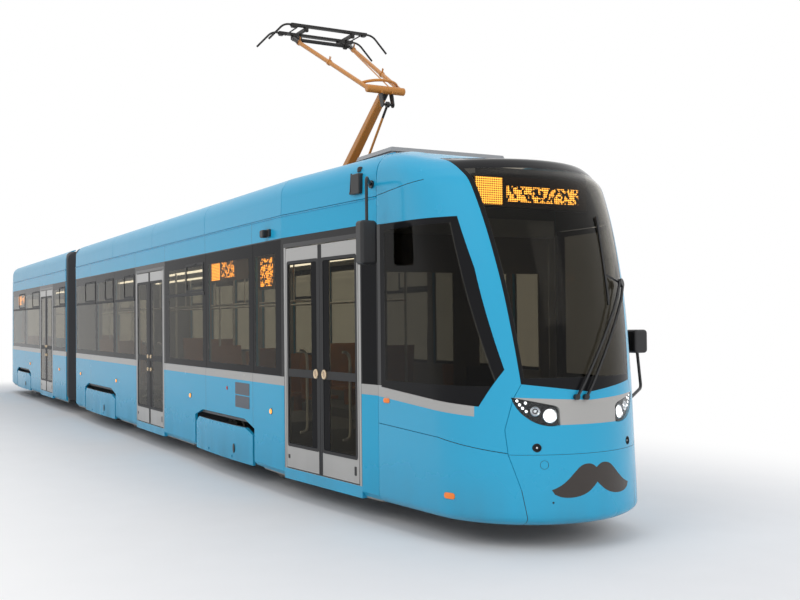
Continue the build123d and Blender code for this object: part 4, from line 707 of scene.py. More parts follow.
def grown(loop, grow):
    """A convex or nearly convex outline moved outwards by a distance."""
    if not grow:
        return loop
    area = sum(a[0] * b[1] - b[0] * a[1] for a, b in zip(loop, loop[1:] + loop[:1]))
    turn = 1 if area > 0 else -1
    moved = []
    for i, point in enumerate(loop):
        before, after = loop[i - 1], loop[(i + 1) % len(loop)]
        normals = []
        for a, b in ((before, point), (point, after)):
            dx, dy = b[0] - a[0], b[1] - a[1]
            length = (dx * dx + dy * dy) ** 0.5
            normals.append((turn * dy / length, -turn * dx / length))
        nx, ny = normals[0][0] + normals[1][0], normals[0][1] + normals[1][1]
        scale = grow * 2 / (nx * nx + ny * ny)
        moved.append((point[0] + nx * scale, point[1] + ny * scale))
    return moved


def arc_through(a, b, c, count):
    """Points on the circle through three points, from the first to the last."""
    ax, ay, bx, by, cx, cy = *a, *b, *c
    d = 2 * (ax * (by - cy) + bx * (cy - ay) + cx * (ay - by))
    ux = ((ax**2 + ay**2) * (by - cy) + (bx**2 + by**2) * (cy - ay) + (cx**2 + cy**2) * (ay - by)) / d
    uy = ((ax**2 + ay**2) * (cx - bx) + (bx**2 + by**2) * (ax - cx) + (cx**2 + cy**2) * (bx - ax)) / d
    centre = Vector((ux, uy))
    start, end = Vector(a) - centre, Vector(c) - centre
    turn = start.angle_signed(end)
    points = []
    for i in range(count + 1):
        angle = -turn * i / count
        x, y = start.x, start.y
        points.append((ux + x * cos(angle) - y * sin(angle), uy + x * sin(angle) + y * cos(angle)))
    return points


def lamp_loop(side, grow=0.0):
    """The outline of a headlamp in front view."""
    belly = arc_through(LAMP_TIP, LAMP_BELLY, LAMP_FOOT, 10)
    loop = [(LAMP_FOOT[0], 1.145), (0.304, 1.167), (0.318, 1.184), (0.345, 1.196)] + belly
    return grown([(side * y, z) for y, z in loop], grow)


def circle(count=28):
    """Points of the unit circle."""
    return [(cos(2 * pi * i / count), sin(2 * pi * i / count)) for i in range(count)]


form = cab_solid(0.0)
corners = [v.co.copy() for v in form.vertices]
skin_tree = BVHTree.FromPolygons(corners, [tuple(p.vertices) for p in form.polygons])


def skin_piece(name, mesh, material, replaced):
    """A piece of the cab's skin, with dark lining on the faces that look into the cab."""
    smooth(mesh, SKIN_ANGLE)
    obj = piece(name, mesh, material)
    mesh.materials.append(MATERIALS["lining"])
    for face in mesh.polygons:
        if skin_tree.find_nearest(face.center)[3] > LINED_FROM:
            face.material_index = 1
    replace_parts(obj, replaced)


def cab_panel(loop, cuts=()):
    """A panel of the nose inside an outline."""
    mesh = combine(shell.copy(), [prism(loop)], "INTERSECT")
    return combine(mesh, list(cuts)) if cuts else mesh


shell = cab_skin(0.0, CAB_WALL, CAB_X + 0.004)
lamp_holes = [prism(lamp_loop(side, JOINT / 2)) for side in SIDES]
vents = [prism([(side * VENT_Y + 0.035 * c, VENT_Z + 0.035 * s) for c, s in circle()]) for side in SIDES]
skin_cuts = [prism(both(half, JOINT / 2)) for half in (SCREEN, MASK, BUMPER)]
skin_cuts += [hole.copy() for hole in lamp_holes]
skin_cuts += [prism(grown(CAB_WINDOW, JOINT / 2), "Y", -2, 2)]
for seam in SEAMS:
    for (x0, z0), (x1, z1) in zip(seam, seam[1:]):
        skin_cuts.append(prism([(x0, z0), (x1, z1), (x1, z1 + JOINT), (x0, z0 + JOINT)], "Y", -2, 2))
skin_piece("cab_skin", combine(shell.copy(), skin_cuts), "cab_blue", "cab_shell")
skin_piece("nose_skin", cab_panel(both(MASK, -JOINT / 4), lamp_holes + vents), "nose_blue", "nose_panel")
skin_piece("bumper_skin", cab_panel(both(BUMPER, -JOINT / 4)), "plain_blue", "bumper_panel")

glass_shell = cab_skin(LENS_DEPTH, LENS_DEPTH + GLASS)
screen_mesh = combine(glass_shell.copy(), [prism(both(SCREEN))], "INTERSECT")
side_mesh = combine(glass_shell.copy(), [prism(CAB_WINDOW, "Y", -2, 2)], "INTERSECT")
side_mesh = combine(side_mesh, [prism([(-0.4, 0), (0.4, 0), (0.4, 4), (-0.4, 4)])])
for glass_mesh in (screen_mesh, side_mesh):
    smooth(glass_mesh, SKIN_ANGLE)
windscreen = piece("windscreen_glass", screen_mesh, "screen")
piece("cab_side_glass", side_mesh, "cab_glass")
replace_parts(windscreen, "cab_glass")


# Shapes of the added pieces
def rect_loop(u0, v0, u1, v1, radius, steps=4):
    """A rectangle with round corners."""
    corners = [
        (u1 - radius, v0 + radius, -pi / 2), (u1 - radius, v1 - radius, 0.0),
        (u0 + radius, v1 - radius, pi / 2), (u0 + radius, v0 + radius, pi),
    ]
    loop = []
    for cu, cv, start in corners:
        for i in range(steps + 1):
            angle = start + pi / 2 * i / steps
            loop.append((cu + radius * cos(angle), cv + radius * sin(angle)))
    return loop


def at_wall(loop, out, side):
    """Points of a side view loop, set off the wall by a distance."""
    return [(x, side * (side_y(x) + out), z) for x, z in loop]


def wall_slab(rect, low, high, edge, side=-1):
    """A plate on the wall with a rounded outer edge."""
    loop = rect_loop(*rect)
    return solid([
        at_wall(loop, low, side), at_wall(loop, high - edge, side), at_wall(grown(loop, -edge), high, side),
    ])


def wall_frame(rect, width, inner_radius, low, high, side=-1):
    """A frame of one width on the wall."""
    x0, z0, x1, z1, radius = rect
    outer = rect_loop(*rect)
    inner = rect_loop(x0 + width, z0 + width, x1 - width, z1 - width, inner_radius)
    rows = ((outer, low), (outer, high), (inner, high), (inner, low))
    return solid([at_wall(loop, out, side) for loop, out in rows], True)


def box_solid(low, high, edge):
    """An upright box with its edges taken off."""
    (x0, y0, z0), (x1, y1, z1) = low, high
    loop = rect_loop(x0, y0, x1, y1, edge, 2)
    small = rect_loop(x0 + edge, y0 + edge, x1 - edge, y1 - edge, edge / 2, 2)
    heights = [(small, z0), (loop, z0 + edge), (loop, z1 - edge), (small, z1)]
    return solid([[(x, y, z) for x, y in ring] for ring, z in heights])


def box_about(at, half, edge):
    """A box from its middle and half its sizes."""
    return box_solid(*[tuple(a + sign * h for a, h in zip(at, half)) for sign in SIDES], edge)


def curve(points, steps):
    """Smooth points through the given ones."""
    points = [Vector(p) for p in points]
    path = []
    for i in range(len(points) - 1):
        a, b, c, d = points[max(i - 1, 0)], points[i], points[i + 1], points[min(i + 2, len(points) - 1)]
        square, cube = 2 * a - 5 * b + 4 * c - d, 3 * b - a - 3 * c + d
        for s in range(steps):
            t = s / steps
            path.append(0.5 * (2 * b + (c - a) * t + square * t * t + cube * t ** 3))
    return path + [points[-1]]


def tube(points, radius, sides=10):
    """A round bar along a line of points."""
    path = [Vector(p) for p in points]
    across = (path[1] - path[0]).orthogonal().normalized()
    rings = []
    for i, point in enumerate(path):
        ahead = (path[min(i + 1, len(path) - 1)] - path[max(i - 1, 0)]).normalized()
        across = (across - ahead * across.dot(ahead)).normalized()
        other = ahead.cross(across)
        rings.append([point + radius * (c * across + s * other) for c, s in circle(sides)])
    return solid(rings)


def square_to(axis):
    """Two directions square to an axis and to each other."""
    across = axis.orthogonal().normalized()
    return across, axis.cross(across)


def turned(profile, at, axis, sides=28, closed=False):
    """A turned form; the profile is radius and height along the axis."""
    axis = Vector(axis).normalized()
    across, other = square_to(axis)
    rings = [
        [Vector(at) + axis * height + radius * (c * across + s * other) for c, s in circle(sides)]
        for radius, height in profile
    ]
    return solid(rings, closed)


def coil(start, end, radius, wire, turns):
    """A helical spring between two points."""
    start, end = Vector(start), Vector(end)
    axis = (end - start).normalized()
    across, other = square_to(axis)
    count = turns * 14
    path = []
    for i in range(count + 1):
        angle = 2 * pi * turns * i / count
        path.append(start + (end - start) * i / count + radius * (cos(angle) * across + sin(angle) * other))
    return tube(path, wire, 6)


def on_nose(y, z):
    """The place on the nose at a height and its outward direction."""
    place, normal = skin_tree.ray_cast(Vector((14, y, z)), Vector((-1, 0, 0)))[:2]
    return place, normal if normal.x > 0 else -normal


def on_cab_side(x, z, side):
    """The place on the cab's side wall and its outward direction."""
    place, normal = skin_tree.ray_cast(Vector((x, side * 3, z)), Vector((0, -side, 0)))[:2]
    return place, normal if normal.y * side > 0 else -normal


# Headlamps: black bowl, clear lens, two round lamps and small lamps at the tip
MAIN_RING = [(0.049, 0), (0.062, 0), (0.062, 0.012), (0.058, 0.017), (0.05, 0.01)]
MAIN_BULB = [(0.048, 0), (0.048, 0.008), (0.038, 0.014), (0.02, 0.0175), (0.001, 0.0185)]
SECOND_RING = [(0.03, 0), (0.042, 0), (0.042, 0.012), (0.038, 0.016), (0.024, 0.004)]
SECOND_BULB = [(0.026, 0), (0.026, 0.003), (0.016, 0.004), (0.01, 0.012), (0.001, 0.014)]
DOT_RING = [(0.011, 0), (0.0145, 0), (0.0145, 0.005), (0.011, 0.008)]
DOT_BULB = [(0.0105, 0), (0.0105, 0.008), (0.007, 0.011), (0.001, 0.012)]
LAMP_DOTS = [(0.617, 1.24), (0.6, 1.207), (0.58, 1.178), (0.555, 1.151), (0.558, 1.222)]
bowl_shell = cab_skin(0.02, CAB_WALL)
lens_shell = cab_skin(LENS_DEPTH, 0.004)
bowls, lenses, chrome, lit, dim = [], [], [], [], []
for side in SIDES:
    loop = prism(lamp_loop(side, -0.001))
    bowls.append(combine(bowl_shell.copy(), [loop], "INTERSECT"))
    lenses.append(combine(lens_shell.copy(), [loop.copy()], "INTERSECT"))
    lamps = [
        (0.378, 1.113, 0.024, MAIN_RING, 32, MAIN_BULB, 28, lit),
        (0.49, 1.152, 0.024, SECOND_RING, 32, SECOND_BULB, 28, dim),
    ]
    lamps += [(y, z, 0.022, DOT_RING, 16, DOT_BULB, 16, lit) for y, z in LAMP_DOTS]
    for y, z, depth, ring, ring_sides, bulb, bulb_sides, bulbs in lamps:
        place, normal = on_nose(side * y, z)
        base = place - normal * depth
        chrome.append(turned(ring, base, normal, ring_sides, True))
        bulbs.append(turned(bulb, base, normal, bulb_sides))
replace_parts(piece("lamp_lenses", lenses, "lamp"), "headlamps")
piece("lamp_bowls", bowls, "bowl")
piece("lamp_rings", chrome, "chrome")
piece("lamp_lit", lit, "white_lamp")
piece("lamp_dim", dim, "mirror")

# Nose: round vents, tow cover, dark film with a plain moustache outline
VENT_CUP = [
    (0.036, 0), (0.036, 0.004), (0.03, 0.006), (0.026, -0.016), (0.001, -0.018), (0.001, -0.022), (0.034, -0.02),
]
VENT_EYE = [(0.012, -0.016), (0.012, -0.006), (0.008, -0.002), (0.001, -0.001)]
TOW_RIM = [(0.036, -0.001), (0.037, 0.0006), (0.034, 0.0006), (0.033, -0.001)]
STUD = [(0.009, -0.001), (0.009, 0.001), (0.006, 0.002), (0.001, 0.002)]
cups, eyes = [], []
for side in SIDES:
    vent = on_nose(side * VENT_Y, VENT_Z)
    cups.append(turned(VENT_CUP, *vent, 28, True))
    eyes.append(turned(VENT_EYE, *vent, 16))
cups.append(turned(TOW_RIM, *on_nose(-0.44, 0.708), 32, True))
cups.append(turned(STUD, *on_nose(-0.385, 0.395), 16))
piece("nose_cups", cups, "rubber")
piece("nose_eyes", eyes, "chrome")

FILM_MIDDLE = 0.03
FILM_WIDTH = 0.91
FILM_TOP = [
    (0.0, 0.668), (0.05, 0.697), (0.11, 0.704), (0.175, 0.688), (0.24, 0.64), (0.3, 0.588), (0.36, 0.545),
    (0.42, 0.515), (0.465, 0.5),
]
FILM_FOOT = [
    (0.44, 0.462), (0.38, 0.438), (0.3, 0.43), (0.22, 0.436), (0.15, 0.452), (0.09, 0.478), (0.04, 0.512),
    (0.0, 0.545),
]
half_film = [(p.x, p.y) for part in (FILM_TOP, FILM_FOOT) for p in curve([(y, z, 0) for y, z in part], 3)]
film_loop = [(FILM_MIDDLE + FILM_WIDTH * y, z) for y, z in half_film]
film_loop += [(FILM_MIDDLE - FILM_WIDTH * y, z) for y, z in reversed(half_film) if y > 0.002]
film = combine(cab_skin(-0.0008, 0.0), [prism(film_loop, low=11.8)], "INTERSECT")
smooth(film, SKIN_ANGLE)
piece("nose_film", film, "film")

# Cab side lamps
SIDE_LAMPS = [("turn_lamp", 10.73, 1.172, 0.05, 0.022), ("low_lamp", 11.69, 0.41, 0.06, 0.026)]
for name, x, z, width, height in SIDE_LAMPS:
    solids = []
    for side in SIDES:
        place, normal = on_cab_side(x, z, side)
        loop = rect_loop(-width, -height, width, height, height * 0.9, 5)
        ahead = Vector((-normal.y, normal.x, 0)).normalized()
        rise = normal.cross(ahead)
        rows = [(1.0, -0.002), (1.0, 0.008), (0.8, 0.014)]
        solids.append(solid([
            [place + (ahead * u + rise * v) * share + normal * out for u, v in loop] for share, out in rows
        ]))
    piece(name, solids, "turn")

# Displays: lamp grids, and the housing of the front one
FRONT_GRID_X = 11.6425
loop = rect_loop(-0.66, 2.945, 0.6, 3.21, 0.004, 2)
grid = solid([[(x, y, z) for y, z in loop] for x in (FRONT_GRID_X, 11.645)])
piece("front_lamp_grid", grid, "front_grid")
housing = [box_solid((11.57, -0.672, 2.93), (FRONT_GRID_X, 0.612, 3.225), 0.006)]
piece("front_display_housing", housing, "trim")


def side_panel(rect, back, face):
    return solid([[(x, y, z) for x, z in rect_loop(*rect, 0.01)] for y in (back, face)])


panels = [side_panel(rect, -1.191, -1.2) for rect in ((5.935, 2.455, 7.605, 2.785), (7.735, 2.3, 8.495, 2.785))]
piece("side_lamp_grids", panels, "side_grid")
panel = side_panel((-11.62, 2.42, -9.72, 2.785), -1.18, -1.1885)
piece("rear_lamp_grid", panel, "side_grid", "rear_car")

# Doors: seals, middle bars, buttons, grab slots and inner rails
BUTTON_RING = [(0.03, 0), (0.052, 0), (0.052, 0.01), (0.047, 0.017), (0.038, 0.017), (0.03, 0.01)]
BUTTON_HEART = [(0.0295, 0), (0.0295, 0.009), (0.022, 0.013), (0.001, 0.014)]
DOOR_RAIL = [(0.01, 0.72), (0.06, 0.73), (0.095, 0.8), (0.095, 1.2), (0.095, 1.52), (0.06, 1.6), (0.01, 1.61)]
SLOT_Z = 0.44
# For each leaf: its rear edge in the doorway, button from the middle, slot and half its height, and inner rail
LEAVES = [(0.057, -0.089, 0.055, 0.022, 0.3), (0.841, 0.089, 0.69, 0.045, 0.43)]


def door_pieces(car, starts):
    seals, rings, hearts, slots, rails = [], [], [], [], []
    for start in starts:
        middle = start + DOOR_MIDDLE
        for edge, button, slot, tall, rail in LEAVES:
            leaf = start + edge
            rim = (leaf + 0.027, 0.552, leaf + 0.735, 2.591, 0.03)
            seals.append(wall_frame(rim, 0.031, 0.022, -0.004, 0.0035))
            bar = (leaf + 0.05, DOOR_BAR[0], leaf + 0.712, DOOR_BAR[1], 0.004)
            seals.append(wall_slab(bar, -0.002, 0.004, 0.002))
            size, heights = (1.0, [1.37]) if start == DOORWAYS[0] else (0.6, [1.388, 1.184])
            for height in heights:
                at = (middle + button, 0.002 - side_y(middle + button), height)
                rings.append(turned([(r * size, h) for r, h in BUTTON_RING], at, (0, -1, 0), 36, True))
                hearts.append(turned([(r * size, h) for r, h in BUTTON_HEART], at, (0, -1, 0)))
            x = leaf + slot
            rim = (x - 0.02, SLOT_Z - tall, x + 0.02, SLOT_Z + tall, 0.01)
            slots.append(wall_frame(rim, 0.006, 0.007, -0.001, 0.0025))
            well = (x - 0.0145, SLOT_Z + 0.0055 - tall, x + 0.0145, SLOT_Z - 0.0055 + tall, 0.007)
            slots.append(wall_slab(well, -0.001, 0.0006, 0.0005))
            x = leaf + rail
            rails.append(tube(curve([(x, -(side_y(x) - inwards), z) for inwards, z in DOOR_RAIL], 5), 0.016))
        for shift in (-0.02, 0.02):
            strip = (middle + shift - 0.0175, 0.322, middle + shift + 0.0175, 2.731, 0.004)
            seals.append(wall_slab(strip, -0.002, 0.0045, 0.002))
    body = f"{car}_car"
    piece(f"{car}_door_seals", seals, "rubber", body)
    piece(f"{car}_door_button_rings", rings, "brass", body)
    piece(f"{car}_door_button_hearts", hearts, "button", body)
    piece(f"{car}_door_slots", slots, "trim", body)
    piece(f"{car}_door_rails", rails, "pole", body)


door_pieces("front", DOORWAYS[:2])
door_pieces("rear", DOORWAYS[2:])

# Hopper windows: a bar across the pane, and a frame and a grip on the tilting part
# For each: side, ends of the pane, split
HOPPERS = {
    "front": [(-1, 3.94, 5.8, 4.98), (-1, 0.66, 2.04, 1.32), (-1, -0.82, 0.53, -0.15), (-1, -2.76, -0.95, -1.9),
              (1, 3.04, 4.42, 3.7), (1, 0.12, 1.5, 0.8), (1, -2.76, -1.42, -2.1), (1, 5.9, 7.63, 6.75)],
    "rear": [(-1, -5.43, -4.0, -4.7), (-1, -9.5, -7.36, -8.4), (-1, -11.7, -9.6, -10.6),
             (1, -5.48, -4.0, -4.7), (1, -9.5, -7.46, -8.4), (1, -11.7, -9.6, -10.6)],
}
for car, rows in HOPPERS.items():
    bars = []
    for side, x0, x1, split in rows:
        bars.append(wall_slab((x0, 2.3, x1, 2.345, 0.006), -0.001, 0.006, 0.002, side))
        bars.append(wall_frame((split, 2.35, x1 - 0.02, 2.75, 0.03), 0.032, 0.02, -0.001, 0.005, side))
        middle = (split + x1) / 2
        bars.append(wall_slab((middle - 0.06, 2.722, middle + 0.06, 2.744, 0.006), 0.004, 0.014, 0.002, side))
    piece(f"{car}_hopper_frames", bars, "rubber", f"{car}_car")

# Side markers, reflector, blank plates and the camera over the first door
MARKERS = {"front": [8.229, 5.152, 0.73, -2.36], "rear": [-4.72, -8.75]}
MARKER_Z = 0.897
MARKER_BASE = [(0.036, -0.002), (0.036, 0.004), (0.031, 0.006), (0.031, 0.0)]
MARKER_DOME = [(0.0305, 0), (0.0305, 0.008), (0.022, 0.016), (0.001, 0.019)]
for car, places in MARKERS.items():
    domes, bases = [], []
    for side in SIDES:
        for x in places:
            at = (x, side * side_y(x), MARKER_Z)
            bases.append(turned(MARKER_BASE, at, (0, side, 0), 24, True))
            domes.append(turned(MARKER_DOME, at, (0, side, 0), 24))
    piece(f"{car}_markers", domes, "amber", f"{car}_car")
    piece(f"{car}_marker_bases", bases, "rubber", f"{car}_car")
reflector = [(0.024, 0), (0.024, 0.005), (0.02, 0.008), (0.001, 0.008)]
# The reflector's red glow is painted reflected light.
piece("side_reflector", [turned(reflector, (6.71, -HALF_WIDTH, 1.084), (0, -1, 0), 24)], "reflector_glow")
heights = ((0.868, 1.014), (1.028, 1.176))
plates = [wall_slab((7.02, z0, 7.52, z1, 0.01), -0.001, 0.003, 0.001) for z0, z1 in heights]
piece("side_plates", plates, "plate")
camera_box = [
    wall_slab((8.085, 2.905, 8.265, 2.99, 0.015), -0.001, 0.03, 0.006),
    wall_slab((8.11, 2.895, 8.215, 2.985, 0.02), 0.028, 0.085, 0.012),
]
piece("door_camera", camera_box, "trim")

# Skirts: a black oval on each, painted shade of a hole in the skirt, and two latches
for number in (1, 2, 3):
    low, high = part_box(f"bogie_{number}_skirts")
    middle = (low[0] + high[0]) / 2
    hole_shades, latches = [], []
    for side in SIDES:
        wall = high[1] if side > 0 else low[1]
        # The black oval is painted shade: it stands for the dark inside of a hole in the skirt.
        oval = [(middle + 0.5 + 0.036 * c, low[2] + 0.15 + 0.058 * s) for c, s in circle()]
        rows = ((-0.004, 0.0), (0.001, 0.0), (0.003, -0.004))
        hole_shades.append(solid([[(x, wall + side * out, z) for x, z in grown(oval, cut)] for out, cut in rows]))
        for x in (middle - 0.5, middle + 0.42):
            near, far = sorted((wall - side * 0.002, wall + side * 0.006))
            latches.append(box_solid((x - 0.022, near, low[2] + 0.035), (x + 0.022, far, low[2] + 0.06), 0.003))
    # Black ovals as painted shade of the holes in the skirts
    piece(f"skirt_hole_shades_{number}", hole_shades, "trim", f"bogie_{number}")
    piece(f"skirt_latches_{number}", latches, "skirt_blue", f"bogie_{number}")

# Rain lips under the cowls
LIP = [(-0.004, 3.098), (0.008, 3.099), (0.011, 3.106), (0.004, 3.113), (-0.004, 3.113)]
for car, stations in (("front", (-2.85, 2.0, TAPER_X, 10.575)), ("rear", (-11.8, -8.0, -3.95))):
    lips = [solid([[(x, side * (side_y(x) + out), z) for out, z in LIP] for x in stations]) for side in SIDES]
    piece(f"{car}_rain_lips", lips, "cowl", f"{car}_car")

# Device on the first cowl
device = [
    wall_slab((10.165, 3.172, 10.325, 3.372, 0.012), -0.03, 0.04, 0.008),
    tube([(10.125, -(side_y(10.125) + 0.018), 3.19), (10.125, -(side_y(10.125) + 0.004), 3.39)], 0.008),
    wall_slab((10.11, 3.18, 10.17, 3.205, 0.004), -0.02, 0.022, 0.002),
    turned([(0.034, -0.02), (0.034, 0.01), (0.028, 0.024), (0.012, 0.032), (0.001, 0.033)],
           (10.245, -(side_y(10.245) - 0.03), 3.415), (0, 0, 1), 24),
]
piece("cowl_device", device, "trim")

# Mirror glass in the rear faces of both housings
faces = []
for y0, z0, y1, z1, x in ((-1.354, 2.464, -1.212, 2.846, 10.7), (1.244, 1.594, 1.386, 1.796, 11.45)):
    loop = rect_loop(y0, z0, y1, z1, 0.022)
    faces.append(solid([[(x + out, y, z) for y, z in loop] for out in (0.0062, 0.0035)]))
piece("mirror_faces", faces, "mirror")

# Folded gangway bellows between the cars
FOLDS, FOLD_STEPS, FOLD_DEPTH = 15, 6, 0.0165
ARCH_HALF, ARCH_FOOT, ARCH_TOP, ARCH_R = 1.18, 0.285, 3.465, 0.12
ARCH_STEPS, CORNER_STEPS = 8, 5
BELLOWS_X, BELLOWS_LENGTH, CLOTH = -3.898, 0.996, 0.012


def bellows_arch(grow):
    """The bellows in cross section, from the foot on the right over the top, grown by a distance."""
    half, high, radius = ARCH_HALF + grow, ARCH_TOP + grow, ARCH_R + grow
    arch = [(-half, ARCH_FOOT + (high - radius - ARCH_FOOT) * i / ARCH_STEPS) for i in range(ARCH_STEPS)]
    for i in range(CORNER_STEPS + 1):
        angle = pi / 2 * i / CORNER_STEPS
        arch.append((-half + radius - radius * cos(angle), high - radius + radius * sin(angle)))
    return arch + [(-y, z) for y, z in reversed(arch)]


count = FOLDS * FOLD_STEPS
rows = []
for i in range(count + 1):
    proud = FOLD_DEPTH - FOLD_DEPTH * cos(2 * pi * i / FOLD_STEPS)
    section = bellows_arch(proud) + bellows_arch(proud - CLOTH)[::-1]
    rows.append([(BELLOWS_X + BELLOWS_LENGTH * i / count, y, z) for y, z in section])
cover = solid(rows)
smooth(cover, 60)
bellows = piece("bellows_cover", cover, "bellows", None)
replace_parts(bellows, "bellows")
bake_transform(bellows)

# Inside: ceiling lamps and hand rails
CEILING_Z, HAND_RAIL_Z, POST_PITCH = 2.782, 2.18, 1.55
for car, x0, x1 in (("front", -2.6, 8.3), ("rear", -11.5, -4.1)):
    strips = [box_solid((x0, y - 0.045, 2.755), (x1, y + 0.045, CEILING_Z), 0.008) for y in (-0.42, 0.42)]
    piece(f"{car}_ceiling_lamps", strips, "ceiling_lamp", f"{car}_car")
for car, x0, x1 in (("front", -2.4, 8.25), ("rear", -11.3, -4.3)):
    rails = []
    for y in (-0.52, 0.52):
        rails.append(tube([(x0, y, HAND_RAIL_Z), (x1, y, HAND_RAIL_Z)], 0.016))
        x = x0 + 0.3
        while x < x1:
            rails.append(tube([(x, y, HAND_RAIL_Z), (x, y, CEILING_Z)], 0.011, 8))
            x += POST_PITCH
    piece(f"{car}_hand_rails", rails, "pole", f"{car}_car")

# Roof: louvres in the cases (rear end, length, half the width, height), conduits and springs of the collector
BOXES = {
    "front": [(1.7, 2.9, 0.72, 0.48), (9.37, 0.8, 0.7, 0.49), (-2.4, 2.2, 0.65, 0.3)],
    "rear": [(-9.3, 2.6, 0.72, 0.43), (-6.4, 1.5, 0.65, 0.3)],
}
VENT_PITCH, VENT_HALF, SLAT_PITCH = 0.48, 0.165, 0.028
for car, rows in BOXES.items():
    slats = []
    for x0, length, half, height in rows:
        count = int((length - 0.036) / VENT_PITCH)
        first = x0 + length / 2 - VENT_PITCH * (count - 1) / 2
        low, high = 3.29, 3.2 + height - 0.135
        steps = max(2, int((high - low) / SLAT_PITCH))
        for vent in (first + VENT_PITCH * i for i in range(count)):
            ends = (vent - VENT_HALF, vent + VENT_HALF)
            for side in SIDES:
                face = side * (half - 0.018)
                back, front = face - side * 0.0118, face - side * 0.001
                for k in range(steps):
                    z = low + (high - low) * (k + 0.2) / steps
                    ring = [(back, z + 0.012), (front, z), (front, z + 0.004), (back, z + 0.016)]
                    slats.append(solid([[(x, y, h) for y, h in ring] for x in ends]))
    piece(f"{car}_roof_louvres", slats, "roof_box", f"{car}_car")
PIPES = [(0.3, 3.225, 4.62, 6.8), (-0.3, 3.225, 4.62, 6.8), (0.1, 3.222, 8.3, 9.36), (-0.55, 3.22, -0.18, 1.69)]
conduits = []
for y, z, x0, x1 in PIPES:
    conduits.append(tube([(x0, y, z), (x1, y, z)], 0.022))
    for x in (x0 + 0.15, (x0 + x1) / 2, x1 - 0.15):
        conduits.append(box_solid((x - 0.02, y - 0.045, 3.199), (x + 0.02, y + 0.045, z + 0.028), 0.005))
piece("roof_conduits", conduits, "roof_box")
springs = [coil((6.9, y, 3.478), (7.255, y, 3.52), 0.034, 0.0075, 11) for y in (-0.115, 0.115)]
springs += [tube([(6.86, y, 3.44), (6.9, y, 3.478)], 0.016) for y in (-0.115, 0.115)]
piece("collector_springs", springs, "pole")

# Clamps and studs on the tubes of the collector's upper arm, and black fittings on its head
KNEE, HEAD = Vector((8.75, 0, 4.62)), Vector((7.0, 0, 5.6))
CLAMP = [(0.027, -0.02), (0.036, -0.018), (0.036, 0.018), (0.027, 0.02)]
clamps = []
for side, along in ((-1, 0.5), (1, 0.36), (-1, 0.93), (1, 0.93)):
    low, top = KNEE + Vector((0, side * 0.222, 0)), HEAD + Vector((0, side * 0.403, 0))
    way = (top - low).normalized()
    at = low + (top - low) * along
    clamps.append(turned(CLAMP, at, way, 20, True))
    rise = way.cross(Vector((0, 1, 0))).normalized()
    rise = rise if rise.z > 0 else -rise
    for spot in (at - way * 0.012, at + way * 0.014):
        clamps.append(tube([spot + rise * 0.03, spot + rise * 0.075], 0.006, 8))
piece("arm_clamps", clamps, "orange", "upper_arm")
fittings = []
for side in SIDES:
    for x in (HEAD.x - 0.21, HEAD.x + 0.21):
        fittings.append(box_about((x, side * 0.5, 5.704), (0.036, 0.03, 0.012), 0.006))
        fittings.append(box_about((x, side * 0.33, 5.6805), (0.022, 0.03, 0.0255), 0.005))
    fittings.append(tube([(6.8, side * 0.45, 5.7), (7.2, side * 0.45, 5.7)], 0.009, 8))
    fittings.append(coil((6.83, side * 0.33, 5.655), (6.97, side * 0.33, 5.64), 0.014, 0.004, 7))
piece("head_fittings", fittings, "head", "contact_head")


# Camera, lights and stage
def set_camera():
    yaw, pitch, roll = (radians(a) for a in (CAMERA_YAW, CAMERA_PITCH, CAMERA_ROLL))
    forward = Vector((cos(yaw) * cos(pitch), sin(yaw) * cos(pitch), sin(pitch)))
    right = Vector((sin(yaw), -cos(yaw), 0))
    up = right.cross(forward)
    right, up = cos(roll) * right + sin(roll) * up, cos(roll) * up - sin(roll) * right
    data = bpy.data.cameras.new("camera")
    data.lens = CAMERA_LENS
    data.sensor_width = SENSOR
    data.clip_end = 300
    camera = new_object("camera", data)
    turn = Matrix((right, up, -forward)).transposed().to_4x4()
    camera.matrix_world = Matrix.Translation(CAMERA_AT) @ turn
    bpy.context.scene.camera = camera


def area_light(name, place, target, size, power):
    """A soft lamp that reflections don't show."""
    data = bpy.data.lights.new(name, "AREA")
    data.shape = "RECTANGLE"
    data.size, data.size_y = size
    data.energy = power
    lamp = new_object(name, data)
    aim = Vector(target) - Vector(place)
    lamp.rotation_euler = aim.to_track_quat("-Z", "Y").to_euler()
    lamp.location = place
    lamp.visible_glossy = False


def looked_at(tree):
    """One for what the camera, reflections and clear glass show."""
    path = tree.nodes.new("ShaderNodeLightPath")
    return most(*[path.outputs[kind] for kind in ("Is Camera Ray", "Is Glossy Ray", "Is Transmission Ray")])


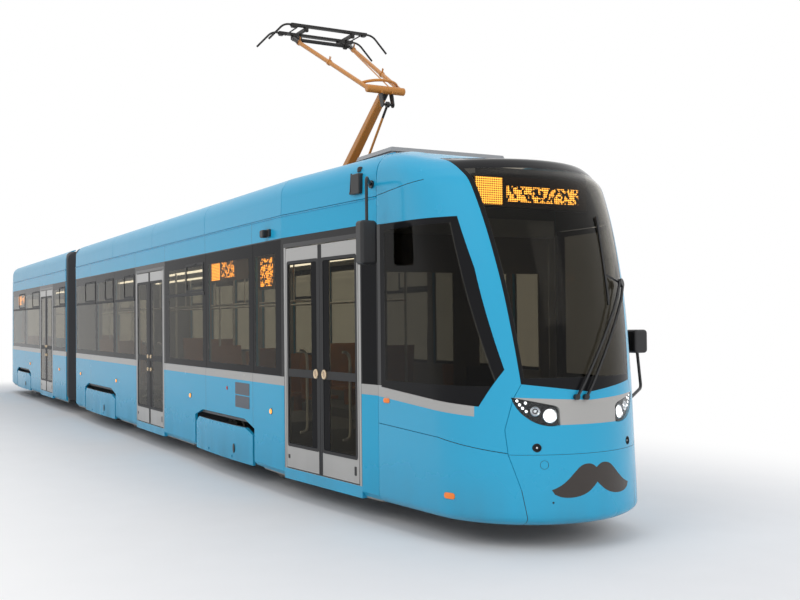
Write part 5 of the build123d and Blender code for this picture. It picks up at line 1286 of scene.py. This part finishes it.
def mix_shaders(factor, first, second, output):
    mixed = new_node(factor, "MixShader")
    for socket, source in zip(mixed.inputs, (factor, first, second)):
        mixed.id_data.links.new(source, socket)
    feed(output, Surface=mixed.outputs[0])


def set_world():
    """A soft grey dome for light, seen as plain white by the camera and in reflections."""
    world = bpy.data.worlds.new("studio")
    bpy.context.scene.world = world
    world.use_nodes = True
    tree = world.node_tree
    dome = feed(tree.nodes["Background"], Color=(0.9, 0.93, 1.0), Strength=0.55)
    white = feed(tree.nodes.new("ShaderNodeBackground"), Color=(1, 1, 1), Strength=1.0)
    mix_shaders(looked_at(tree), dome.outputs[0], white.outputs[0], tree.nodes["World Output"])


def make_floor():
    """Pale floor that keeps the shadow near the tram and is plain white farther out."""
    ring = [(FLOOR_R * c, FLOOR_R * s, 0) for c, s in circle(64)]
    mesh = mesh_from(ring, [tuple(range(len(ring)))])
    floor = new_object("floor", mesh)
    floor.location.z = GROUND_Z
    mat, shader, coords = new_material()
    mat.name = "floor_paper"
    paper = mix(noise(coords, 2.0, 4.0), (0.8, 0.795, 0.79), (0.84, 0.835, 0.83))
    feed(shader, Base_Color=paper, Roughness=0.8)
    x, y, z = axes_of(coords)
    beyond = most(less(size_of(x), FLOOR_STRAIGHT), 0.0)
    away = ramp(math_node("SQRT", times_add(y, y, times(beyond, beyond))), *FLOOR_FADE)
    tree = mat.node_tree
    white = feed(tree.nodes.new("ShaderNodeEmission"), Color=(1, 1, 1))
    shown = times(away, looked_at(tree))
    mix_shaders(shown, shader.outputs[0], white.outputs[0], tree.nodes["Material Output"])
    mesh.materials.append(mat)
    floor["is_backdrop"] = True


set_camera()
set_world()
make_floor()
area_light("key_light", (14, -17, 13), (4, 0, 1.5), (14, 10), 1300)
area_light("front_light", (27, 2, 9), (11, 0, 1.5), (8, 8), 900)
area_light("roof_light", (0, 0, 16), (0, 0, 0), (24, 10), 900)
area_light("left_light", (0, 18, 9), (0, 0, 1.5), (22, 8), 1100)
area_light("tail_light", (-28, -4, 8), (-10, 0, 1.5), (8, 8), 600)
bpy.context.scene.view_settings.view_transform = "Standard"

corners = [[list(corner) for corner in cad_box], [list(corner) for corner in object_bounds()]]
